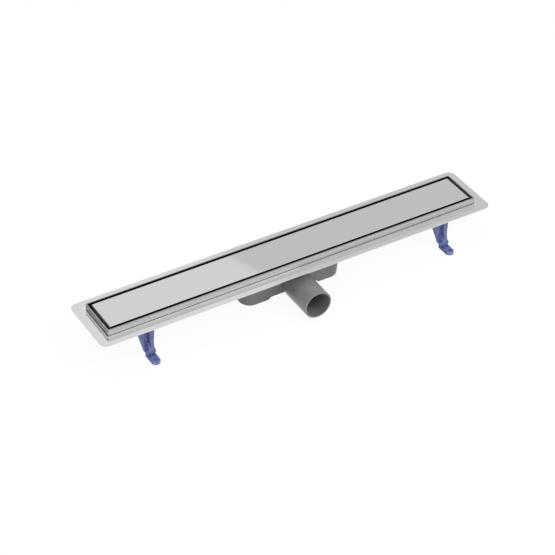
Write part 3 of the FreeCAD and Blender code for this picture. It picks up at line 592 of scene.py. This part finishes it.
def inside_mask(tree):
    """One on the trough's inner faces, zero on its outside and rim."""
    x, y, z = axes(tree, own_place(tree))
    _, _, upward = axes(tree, face_way(tree))
    half_gauge = SHEET_GAUGE / 2
    beside = is_under(tree, size_of(tree, y), trough_high.y - half_gauge)
    between = is_under(tree, size_of(tree, x), trough_high.x - half_gauge)
    deep = remap(tree, z, -RIM_DEPTH / 3, -RIM_DEPTH)
    return product(tree, beside, between, deep, is_over(tree, upward, FACES_DOWN))


# Below the rim the trough's inside is painted dark, a painted shade.
print("walls of", round(SHEET_GAUGE / MM, 1), "mm, film from", round(RIM_DEPTH / MM, 1), "mm down")

# %% [markdown]
# The rim is the sheet's sheared edge and rough. Along the two long sides the rim and a
# narrow band at the top of the walls are painted darker, and the flange mirrors that band
# as a thin dark line. The two end walls were dressed with a belt that ran across the drain,
# and its marks are as uneven as the hand that held it.

# %% Finish: trough, bright outside and painted shade inside
BRIGHT_TONES = (rgb(0.555, 0.555, 0.550), rgb(0.600, 0.600, 0.596))
INSIDE_SHADE_TONES = (grey(0.020), rgb(0.042, 0.042, 0.040))
INSIDE_END_TONE = grey(0.36)
BELT_TONES = (grey(0.40), grey(0.60))
GROUND_DEPTH = 1.1 * SHEET_GAUGE
RIM_BAND_BREADTH = 0.6 * MM
RIM_DARK_TONE = grey(0.22)
RIM_SHARE = 0.30
RIM_BAND_SHARE = 0.45
TROUGH_ROUGH = 0.26
DULL_ROUGH = 0.30
RIM_ROUGH = 0.15


def belt_tone(tree):
    """The uneven grey that the belt leaves, drawn out across the drain."""
    belt = use_group(tree, sheet_grain, {"Stretch": (900.0, 45.0, 900.0), "Cloud Scale": 90.0})
    marks = add_shares(tree, 0.0, (belt.outputs["Streaks"], 0.6), (belt.outputs["Clouds"], 0.4))
    return blend_colour(tree, spread(tree, marks, reach=0.12), *BELT_TONES)


def make_trough_finish():
    """Bright outside, ground at the ends, darker along the top, and painted dark inside as painted
    shade.
    """
    material, tree, shader, edges = new_finish("trough_sheet", edge_radius=0.25 * MM)
    grain = use_group(tree, sheet_grain, {"Stretch": (14.0, 1100.0, 1100.0), "Cloud Scale": 12.0})
    streaks = spread(tree, grain.outputs["Streaks"], reach=0.18)
    clouds = spread(tree, grain.outputs["Clouds"], reach=0.15)
    x, _, z = axes(tree, own_place(tree))
    inside = inside_mask(tree)
    ground = is_over(tree, size_of(tree, x), trough_high.x - GROUND_DEPTH)
    rim = is_over(tree, z, -RIM_DEPTH / 2)
    rim_band = is_over(tree, z, -RIM_BAND_BREADTH)
    # The rim and the top of the long walls are painted darker.
    rim_darkening = add_shares(tree, 0.0, (rim, RIM_SHARE), (rim_band, RIM_BAND_SHARE))
    bright = blend_colour(tree, streaks, *BRIGHT_TONES)
    bright = paint(tree, bright, belt_tone(tree), ground)
    bright = paint(tree, bright, RIM_DARK_TONE, product(tree, rim_darkening, opposite(tree, ground)))
    # The inside is painted nearly black, a painted shade, and a lighter grey on the two end walls.
    inside_shade = blend_colour(tree, clouds, *INSIDE_SHADE_TONES)
    inside_shade = paint(tree, inside_shade, INSIDE_END_TONE, ground)
    tone = paint(tree, bright, inside_shade, inside)
    rough = add_shares(tree, TROUGH_ROUGH, (clouds, 0.06), (inside, DULL_ROUGH), (rim, RIM_ROUGH))
    surface(tree, shader, tone, rough, metallic=1.0)
    raise_grain(tree, shader, edges, grain.outputs["Streaks"], distance=0.01 * MM, strength=0.2)
    return material


trough_finish = make_trough_finish()
print("finish", trough_finish.name)

# %% [markdown]
# The folded bridges, the strainer and the fasteners are plain sheet and wire that
# nobody polishes. They are duller and a little darker than the parts on show. The
# fasteners are zinc-plated, with a touch of blue and small crystals in the plating.

# %% Finish: fittings and fasteners
PLAIN_TONES = (rgb(0.46, 0.46, 0.455), rgb(0.54, 0.54, 0.535))
PLAIN_ROUGH = 0.26
ZINC_TONES = (rgb(0.50, 0.52, 0.56), rgb(0.62, 0.64, 0.67))
ZINC_ROUGH = 0.22
CRYSTALS_A_METRE = 2200.0


def make_fitting_finish():
    """Plain sheet, as it comes from the mill."""
    material, tree, shader, edges = new_finish("plain_sheet", edge_radius=0.3 * MM)
    grain = use_group(tree, sheet_grain, {"Stretch": (900.0, 25.0, 900.0), "Cloud Scale": 40.0})
    clouds = spread(tree, grain.outputs["Clouds"], reach=0.20)
    tone = blend_colour(tree, clouds, *PLAIN_TONES)
    rough = add_shares(tree, PLAIN_ROUGH, (grain.outputs["Streaks"], 0.15))
    surface(tree, shader, tone, rough, metallic=1.0)
    raise_grain(tree, shader, edges, grain.outputs["Streaks"], distance=0.02 * MM, strength=0.3)
    return material


def make_zinc_finish():
    """Zinc plate with its crystals."""
    material, tree, shader, edges = new_finish("zinc_plate", edge_radius=0.2 * MM)
    crystals = put(tree, "ShaderNodeTexVoronoi", {"Vector": own_place(tree), "Scale": CRYSTALS_A_METRE})
    share = remap(tree, crystals.outputs["Distance"], 0.1, 0.8)
    tone = blend_colour(tree, share, *ZINC_TONES)
    rough = add_shares(tree, ZINC_ROUGH, (share, 0.12))
    surface(tree, shader, tone, rough, metallic=1.0)
    raise_grain(tree, shader, edges, share, distance=0.02 * MM, strength=0.4)
    return material


fitting_finish = make_fitting_finish()
zinc_finish = make_zinc_finish()
print("finishes", fitting_finish.name, zinc_finish.name)

# %% [markdown]
# The trap is moulded in dark grey plastic with a finely sparked tool. The spigot is
# smoother than the body, because its part of the tool is turned and polished so that a
# socket's seal can slide over it. It is also painted a little paler, painted light for the
# pipe that stands out in front. A mask by place makes that difference: everything in front of the
# trap's own wall belongs to the spigot.

# %% Finish: dark trap plastic
TRAP_TONES = (rgb(0.150, 0.150, 0.149), rgb(0.185, 0.185, 0.183))
TRAP_ROUGH = 0.46
SPIGOT_PAINTED_LIGHT_TONES = (rgb(0.180, 0.180, 0.178), rgb(0.210, 0.210, 0.208))
SPIGOT_START = -29.0 * MM
SPIGOT_FADE = 3.0 * MM
SPIGOT_POLISH = -0.17
BODY_GRAIN = 1.2


def make_trap_finish():
    """A sparked body with a polished spigot."""
    material, tree, shader, edges = new_finish("dark_trap_plastic", edge_radius=0.6 * MM)
    skin = use_group(tree, moulded_skin, {"Grain Scale": 1500.0, "Flow Scale": 26.0})
    flow = spread(tree, skin.outputs["Flow"], reach=0.20)
    _, y, _ = axes(tree, own_place(tree))
    spigot = remap(tree, y, SPIGOT_START, SPIGOT_START - SPIGOT_FADE)
    body = blend_colour(tree, flow, *TRAP_TONES)
    # The spigot is painted paler than the body: painted light.
    tone = paint(tree, body, blend_colour(tree, flow, *SPIGOT_PAINTED_LIGHT_TONES), spigot)
    rough = add_shares(tree, TRAP_ROUGH, (flow, 0.08), (spigot, SPIGOT_POLISH))
    surface(tree, shader, tone, rough, metallic=0.0)
    height = product(tree, skin.outputs["Grain"], arithmetic(tree, "SUBTRACT", BODY_GRAIN, spigot))
    raise_grain(tree, shader, edges, height, distance=0.06 * MM, strength=0.35)
    return material


trap_finish = make_trap_finish()
print("finish", trap_finish.name)

# %% [markdown]
# The legs and their shoes are a tough blue plastic with a satin skin. Light and shade are
# painted into their colour, so it has to change with the place on a leg. All four legs share
# one finish: each place is measured from the middle of its own leg, with the rear legs turned
# about. Then across runs along the drain, and outward is minus the distance from its middle line.

# %% Places on a leg
LEG_PLACE = (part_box("leg_front_right")[0].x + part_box("leg_front_right")[1].x) / 2


def place_on_leg(tree):
    """Across, outward and height, the same for the like points of all four legs."""
    x, y, z = axes(tree, own_place(tree))
    turned = product(tree, arithmetic(tree, "SIGN", y), -1.0)
    own_middle = product(tree, arithmetic(tree, "SIGN", x), LEG_PLACE)
    across = product(tree, arithmetic(tree, "SUBTRACT", x, own_middle), turned)
    outward = product(tree, size_of(tree, y), -1.0)
    return across, outward, z


print("legs stand", round(LEG_PLACE / MM, 1), "mm from the middle")

# %% [markdown]
# The groove is the long hollow down a leg's front. It leans a little, so its middle moves
# with the height. The groove is painted dark, a painted shade that is deeper towards its foot.

# %% Mask: painted shade in a leg's groove
LEG_FACE = -38.0 * MM
GROOVE_TOP = -26.0 * MM
GROOVE_DEEP = -50.0 * MM
GROOVE_FOOT = -64.0 * MM
GROOVE_FADE = 3.0 * MM
GROOVE_SHIFT = -0.6 * MM
GROOVE_LEAN = 0.125
GROOVE_HALF = 4.8 * MM
SHADE_AT_TOP = 0.45


# Painted shade: the groove is painted dark, more so towards its foot.
def groove_mask(tree, across, outward, z):
    """Zero beside the groove, part of the way at its top, and one in its lower half."""
    lean = product(tree, arithmetic(tree, "SUBTRACT", z, GROOVE_TOP), GROOVE_LEAN)
    middle = arithmetic(tree, "ADD", lean, GROOVE_SHIFT)
    beside = size_of(tree, arithmetic(tree, "SUBTRACT", across, middle))
    return product(tree, remap(tree, beside, GROOVE_HALF, GROOVE_HALF / 2),
                   is_under(tree, outward, LEG_FACE),
                   remap(tree, z, GROOVE_FOOT, GROOVE_FOOT + GROOVE_FADE),
                   remap(tree, z, GROOVE_TOP, GROOVE_DEEP, SHADE_AT_TOP, 1.0))


print("groove", round((GROOVE_TOP - GROOVE_FOOT) / MM, 1), "mm long")

# %% [markdown]
# Four more zones are painted. The groove's own walls are painted pale, painted light that
# lifts the shade in them. The sides are painted darker, a painted shade. The collar at the
# groove's foot is painted paler, a painted highlight. The fold over the shoe lies below the
# collar and behind the toe, and it is painted dark, a painted shade. Walls and sides both
# face along the drain, and their distance from the leg's middle tells them
# apart.

# %% Masks: painted light and shade on a leg
COLLAR_TOP = -60.0 * MM
COLLAR_FOOT = -66.5 * MM
COLLAR_FADE = 2.0 * MM
FOLD_START = -54.5 * MM
FOLD_FADE = 3.0 * MM
SIDE_START = 6.0 * MM
SIDES_TURN = (0.45, 0.85)
WALLS_TURN = (0.20, 0.50)


def leg_light_and_shade(tree):
    """A mask for each zone of painted light and shade on a leg, by name."""
    across, outward, z = place_on_leg(tree)
    along, _, _ = axes(tree, face_way(tree))
    sideways = size_of(tree, along)
    at_side = is_over(tree, size_of(tree, across), SIDE_START)
    under_collar = remap(tree, z, COLLAR_FOOT - COLLAR_FADE / 4, COLLAR_FOOT - COLLAR_FADE)
    behind_toe = remap(tree, outward, FOLD_START - FOLD_FADE, FOLD_START)
    return {
        "collar_highlight": product(tree, remap(tree, z, COLLAR_TOP + COLLAR_FADE, COLLAR_TOP),
                          remap(tree, z, COLLAR_FOOT - COLLAR_FADE / 2, COLLAR_FOOT + COLLAR_FADE / 2)),
        "sides": product(tree, at_side, remap(tree, sideways, *SIDES_TURN)),
        "groove": groove_mask(tree, across, outward, z),
        "walls": product(tree, opposite(tree, at_side), remap(tree, sideways, *WALLS_TURN)),
        "fold_shade": product(tree, under_collar, behind_toe),
    }


print("collar_highlight", round((COLLAR_TOP - COLLAR_FOOT) / MM, 1), "mm high")

# %% [markdown]
# The zones of painted light and shade are laid one over another in the order of the table,
# each with its own share and colour. The shoes use the same zones on a lighter and slightly glossier
# blue.

# %% Finish: blue leg plastic
# Painted light and shade: a highlight on the collar, shade on the sides, in the groove and on the fold,
# light on the groove's walls.
PAINTED_LIGHT_AND_SHADE = {
    # zone: share of a full coat, colour
    "collar_highlight": (0.25, rgb(0.170, 0.210, 0.450)),
    "sides": (0.50, rgb(0.055, 0.062, 0.125)),
    "groove": (0.95, rgb(0.030, 0.046, 0.170)),
    "walls": (0.85, rgb(0.190, 0.220, 0.500)),
    "fold_shade": (0.50, rgb(0.020, 0.032, 0.140)),
}
LEG_TONES = (rgb(0.098, 0.118, 0.285), rgb(0.124, 0.145, 0.325))
SHOE_TONES = (rgb(0.124, 0.150, 0.378), rgb(0.158, 0.186, 0.425))


def make_blue_finish(name, tones, rough):
    """Satin blue plastic with the painted light and shade of the zones on it."""
    material, tree, shader, edges = new_finish(name, edge_radius=0.7 * MM)
    skin = use_group(tree, moulded_skin, {"Grain Scale": 2000.0, "Flow Scale": 70.0})
    light_and_shade_zones = leg_light_and_shade(tree)
    tone = blend_colour(tree, spread(tree, skin.outputs["Flow"], reach=0.25), *tones)
    for zone, (share, colour) in PAINTED_LIGHT_AND_SHADE.items():
        tone = paint(tree, tone, colour, light_and_shade_zones[zone], share)
    rough = add_shares(tree, rough, (skin.outputs["Grain"], 0.12), (light_and_shade_zones["groove"], 0.15))
    surface(tree, shader, tone, rough, metallic=0.0)
    raise_grain(tree, shader, edges, skin.outputs["Grain"], distance=0.05 * MM, strength=0.3)
    return material


leg_finish = make_blue_finish("blue_leg_plastic", LEG_TONES, rough=0.36)
shoe_finish = make_blue_finish("blue_shoe_plastic", SHOE_TONES, rough=0.34)
print("finishes", leg_finish.name, shoe_finish.name, "with", len(PAINTED_LIGHT_AND_SHADE), "light_and_shade_zones")

# %% [markdown]
# The dip insert is a paler grey than the trap, so that a hand finds it. The gasket and
# the insert's seal are black rubber, dull and slightly dusty with release powder.

# %% Finish: insert plastic and rubber
INSERT_TONES = (grey(0.29), grey(0.35))
INSERT_ROUGH = 0.38
RUBBER_TONES = (grey(0.022), grey(0.055))
RUBBER_ROUGH = 0.66


def make_insert_finish():
    """Pale grey plastic."""
    material, tree, shader, edges = new_finish("grey_insert_plastic", edge_radius=0.4 * MM)
    skin = use_group(tree, moulded_skin, {"Grain Scale": 1400.0, "Flow Scale": 45.0})
    flow = spread(tree, skin.outputs["Flow"], reach=0.20)
    tone = blend_colour(tree, flow, *INSERT_TONES)
    surface(tree, shader, tone, add_shares(tree, INSERT_ROUGH, (flow, 0.1)), metallic=0.0)
    raise_grain(tree, shader, edges, skin.outputs["Grain"], distance=0.03 * MM, strength=0.3)
    return material


def make_rubber_finish():
    """Black rubber with a little powder on it."""
    material, tree, shader, edges = new_finish("black_rubber", edge_radius=0.3 * MM)
    skin = use_group(tree, moulded_skin, {"Grain Scale": 900.0, "Flow Scale": 60.0})
    powder = remap(tree, skin.outputs["Flow"], 0.45, 0.80)
    tone = blend_colour(tree, powder, *RUBBER_TONES)
    surface(tree, shader, tone, add_shares(tree, RUBBER_ROUGH, (powder, 0.15)), metallic=0.0)
    raise_grain(tree, shader, edges, skin.outputs["Grain"], distance=0.05 * MM, strength=0.4)
    return material


insert_finish = make_insert_finish()
rubber_finish = make_rubber_finish()
print("finishes", insert_finish.name, rubber_finish.name)

# %% [markdown]
# Each node of the model now gets its finish. The record already says which slot a node
# belongs to, so the finishes are listed by slot.

# %% Dress the nodes
FINISHES = {
    "cover_steel": cover_finish,
    "flange_steel": flange_finish,
    "trough_steel": trough_finish,
    "fitting_steel": fitting_finish,
    "fastener_steel": zinc_finish,
    "trap_plastic": trap_finish,
    "insert_plastic": insert_finish,
    "leg_plastic": leg_finish,
    "shoe_plastic": shoe_finish,
    "seal_rubber": rubber_finish,
}
SLOTS = {part["node"]: part["material_slot"] for part in frame["record"]["subparts"]}


def dress(piece, material):
    """Give every face of a piece one material."""
    if not piece.material_slots:
        piece.data.materials.append(material)
    for slot in piece.material_slots:
        slot.material = material


for name, piece in nodes.items():
    dress(piece, FINISHES[SLOTS[name]])
print("dressed", len(nodes), "nodes with", len(FINISHES), "finishes")

# %% [markdown]
# The frame is welded to the flange all round. The weld metal is tinted by its own heat,
# and the seam is the thin dark line between the wall and its mirror image. At the two
# ends the bead is painted nearly black, a painted shade.

# %% Finish: weld seam
SEAM_TONES = (rgb(0.140, 0.130, 0.118), rgb(0.165, 0.162, 0.168))
SEAM_ROUGH = 0.38
SEAM_END_SHADE = grey(0.025)


def make_seam_finish():
    """Heat-tinted weld metal, painted nearly black at the two ends as painted shade."""
    material, tree, shader, edges = new_finish("heat_tinted_weld", edge_radius=0.1 * MM)
    place = own_place(tree)
    tint = put(tree, "ShaderNodeTexNoise", {"Vector": place, "Scale": 160.0, "Detail": 3.0}).outputs[0]
    share = spread(tree, tint, reach=0.15)
    x, _, _ = axes(tree, place)
    at_end = is_over(tree, size_of(tree, x), trough_high.x)
    tone = blend_colour(tree, share, *SEAM_TONES)
    # Painted shade: the seam at the two ends is painted nearly black.
    tone = paint(tree, tone, SEAM_END_SHADE, at_end, share=0.8)
    surface(tree, shader, tone, add_shares(tree, SEAM_ROUGH, (share, 0.12)), metallic=1.0)
    raise_grain(tree, shader, edges, tint, distance=0.02 * MM, strength=0.3)
    return material


seam_finish = make_seam_finish()
print("finish", seam_finish.name)

# %% [markdown]
# The seam itself is a small concave fillet with fine ripples, one for each pulse of the
# arc. It is swept as a ring: a section of a few points, carried along each side and
# turned at the corners by moving every point outwards on both sides at once, which is
# what a mitre is.

# %% Section and path of the weld seam
SEAM_LEG = 0.9 * MM
SEAM_BURIED = 0.15 * MM
SEAM_ARC_POINTS = 4
RIPPLE_PITCH = 1.5 * MM
RIPPLE_DEPTH = 0.08 * MM
STEPS_A_RIPPLE = 4


def seam_section(leg):
    """Points as distance from the wall and height over the flange, round the bead."""
    points = [(-SEAM_BURIED, -SEAM_BURIED), (leg, -SEAM_BURIED)]
    for step in range(SEAM_ARC_POINTS + 1):
        angle = math.radians(90 * step / SEAM_ARC_POINTS)
        points.append((leg * (1 - math.sin(angle)), leg * (1 - math.cos(angle))))
    points.append((-SEAM_BURIED, leg))
    return points


def ring_stations(half_x, half_y):
    """Places round a rectangle, each with its outward way and its step along the side."""
    stations = []
    corners = [(-1, -1), (1, -1), (1, 1), (-1, 1)]
    for index, (sign_x, sign_y) in enumerate(corners):
        start = Vector((sign_x * half_x, sign_y * half_y))
        following = corners[(index + 1) % 4]
        end = Vector((following[0] * half_x, following[1] * half_y))
        outward = Vector((end - start).normalized().yx) * Vector((1, -1))
        count = STEPS_A_RIPPLE * round((end - start).length / RIPPLE_PITCH)
        stations.append((start, Vector((sign_x, sign_y)), 0))
        for step in range(1, count):
            stations.append((start.lerp(end, step / count), outward, step))
    return stations


seam_stations = ring_stations(trough_high.x, trough_high.y)
print("seam of", len(seam_stations), "stations with", len(seam_section(SEAM_LEG)), "points each")

# %% [markdown]
# Each station takes one copy of the section, a little smaller in the valley of a ripple.
# Faces then join every section to the next, and the last one to the first.

# %% Piece: weld seam


def make_weld_seam():
    """The bead round the raised frame."""
    vertices = []
    for place, outward, step in seam_stations:
        ripple = 0.5 - 0.5 * math.cos(2 * math.pi * step / STEPS_A_RIPPLE)
        swell = 1 - RIPPLE_DEPTH / SEAM_LEG * ripple
        for distance, height in seam_section(SEAM_LEG * swell):
            spot = place + outward * distance
            vertices.append((spot.x, spot.y, flange_top + height))
    faces = []
    around = len(seam_section(SEAM_LEG))
    for station in range(len(seam_stations)):
        here = station * around
        there = (station + 1) % len(seam_stations) * around
        for point in range(around):
            beside = (point + 1) % around
            faces.append((here + point, there + point, there + beside, here + beside))
    mesh = bpy.data.meshes.new("weld_seam")
    mesh.from_pydata(vertices, [], faces)
    mesh.update()
    mesh.materials.append(seam_finish)
    seam = add_object("weld_seam", mesh)
    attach(seam, "root")
    return seam


weld_seam = make_weld_seam()
print("weld seam of", len(weld_seam.data.polygons), "faces")

# %% [markdown]
# The studs, nuts and screws are plain stand-ins in the model. Here they get what a lathe,
# a die and a cold header give them. All three are turned forms: a stack of rings, each
# with its height and a radius that may change with the angle. A round ring gives a stem,
# a ring whose radius steps on a little from one height to the next gives a thread, and a
# ring with the radius of a hexagon gives a nut or a screw's head.

# %% Rings of a turned piece
THREAD_DEPTH = 0.6
RINGS_A_TURN = 6


def round_ring(radius):
    """The same radius at every angle."""
    return lambda angle: radius


def hexagon_ring(across_flats, limit=math.inf):
    """A hexagon's radius by angle, never more than the limit."""
    def radius(angle):
        off_flat = angle % (math.pi / 3) - math.pi / 6
        return min(across_flats / 2 / math.cos(off_flat), limit)
    return radius


def thread_rings(top, bottom, crest, pitch, lead_in):
    """Rings of a thread from its top down, with the crest turned off at the lower end."""
    depth = THREAD_DEPTH * pitch
    steps = round((top - bottom) / pitch * RINGS_A_TURN)
    rings = []
    for step in range(steps + 1):
        height = top + (bottom - top) * step / steps

        def radius(angle, height=height):
            turn = (height / pitch + angle / (2 * math.pi)) % 1
            limit = crest - max(0.0, lead_in - (height - bottom))
            return min(crest - depth * abs(2 * turn - 1), limit)
        rings.append((height, radius))
    return rings


print("threads of", RINGS_A_TURN, "rings a turn")

# %% [markdown]
# A stack of rings becomes a mesh by walking round each ring and joining it to the next
# one. A stem closes with a flat face at each end. A nut has a bore, so its last ring is
# joined back to its first. Each node holds four like solids, one in each quarter of the
# plan, and the new piece stands in the very boxes of those four.

# %% Helpers for turned pieces
RING_POINTS = 36


def quarter_boxes(piece):
    """Corners of the four like solids of a node, one in each quarter of the plan."""
    boxes = []
    for side_x in (-1, 1):
        for side_y in (-1, 1):
            points = [v.co for v in piece.data.vertices if v.co.x * side_x > 0 and v.co.y * side_y > 0]
            low = Vector([min(p[axis] for p in points) for axis in range(3)])
            high = Vector([max(p[axis] for p in points) for axis in range(3)])
            boxes.append((low, high))
    return boxes


def stack_rings(bm, middle, rings, closed=False):
    """Add a stack of rings to a mesh, with flat ends or joined end to end."""
    rows = []
    for height, radius in rings:
        row = []
        for point in range(RING_POINTS):
            angle = 2 * math.pi * point / RING_POINTS
            reach = radius(angle)
            row.append(bm.verts.new((middle.x + reach * math.cos(angle),
                                     middle.y + reach * math.sin(angle), height)))
        rows.append(row)
    if closed:
        rows.append(rows[0])
    for above, below in zip(rows, rows[1:]):
        for point in range(RING_POINTS):
            beside = (point + 1) % RING_POINTS
            bm.faces.new((above[point], above[beside], below[beside], below[point]))
    if not closed:
        bm.faces.new(rows[0])
        bm.faces.new(rows[-1])


def add_turned(name, node, build, material):
    """One piece with a turned form in each quarter, in place of a node."""
    bm = bmesh.new()
    for low, high in quarter_boxes(nodes[node]):
        build(bm, (low + high) / 2, low, high)
    bmesh.ops.recalc_face_normals(bm, faces=bm.faces)
    mesh = bpy.data.meshes.new(name)
    bm.to_mesh(mesh)
    bm.free()
    mesh.materials.append(material)
    piece = add_object(name, mesh)
    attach(piece, "root")
    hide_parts(node)
    print(name, len(mesh.polygons), "faces")


# %% [markdown]
# The studs have a 0.8 mm pitch and the screws 0.6 mm. A cone cuts the corners of a nut
# or a head before the flats are pressed, which leaves the curved edges on the flats. The
# limit on a hexagon ring's radius is that cone: it grows with the depth under the face.

# %% Studs, nuts and clamp screws
STUD_PITCH = 0.8 * MM
SCREW_PITCH = 0.6 * MM
SCREW_STEM = 1.75 * MM
SCREW_HEAD = 2.0 * MM
SCREW_NECK = 0.3 * MM
LEAD_IN = 0.6 * MM
CONE_CUTS = (0.0, 0.12 * MM, 0.25 * MM, 0.4 * MM, 0.6 * MM)
CONE_SLOPE = math.sqrt(3)
CONE_MOUTH = 0.94


def cone_rings(face, direction, flats):
    """Hexagon rings under a face, cut by the cone. direction is -1 below the face."""
    rings = []
    for cut in CONE_CUTS:
        limit = CONE_MOUTH * flats / 2 + CONE_SLOPE * cut
        rings.append((face + direction * cut, hexagon_ring(flats, limit)))
    return rings


def build_stud(bm, middle, low, high):
    """A stud that is threaded over its whole length."""
    crest = (high.y - low.y) / 2
    stack_rings(bm, middle, thread_rings(high.z, low.z, crest, STUD_PITCH, LEAD_IN))


def build_nut(bm, middle, low, high):
    """A hexagon nut whose bore is as wide as the stud."""
    flats = high.y - low.y
    stud_low, stud_high = quarter_boxes(nodes["leg_studs"])[0]
    bore = round_ring((stud_high.y - stud_low.y) / 2)
    rings = [(high.z, bore), (low.z, bore)]
    rings += cone_rings(low.z, 1, flats)
    rings += reversed(cone_rings(high.z, -1, flats))
    stack_rings(bm, middle, rings, closed=True)


def build_clamp_screw(bm, middle, low, high):
    """A hexagon head with a short plain neck and a threaded stem."""
    flats = high.y - low.y
    under_head = high.z - SCREW_HEAD
    rings = cone_rings(high.z, -1, flats)
    rings.append((under_head, hexagon_ring(flats)))
    rings.append((under_head, round_ring(SCREW_STEM)))
    rings += thread_rings(under_head - SCREW_NECK, low.z, SCREW_STEM, SCREW_PITCH, LEAD_IN)
    stack_rings(bm, middle, rings)


add_turned("threaded_studs", "leg_studs", build_stud, zinc_finish)
add_turned("hexagon_nuts", "leg_nuts", build_nut, zinc_finish)
add_turned("hexagon_screws", "clamp_screws", build_clamp_screw, zinc_finish)

# %% [markdown]
# The box of the visible model is compared with the box of the imported one, and the
# largest change between them is printed.

# %% Sizes and finish
low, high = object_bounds()
change = max((low - cad_low).length, (high - cad_high).length)
print("largest change of the box in mm", round(change / MM, 3))
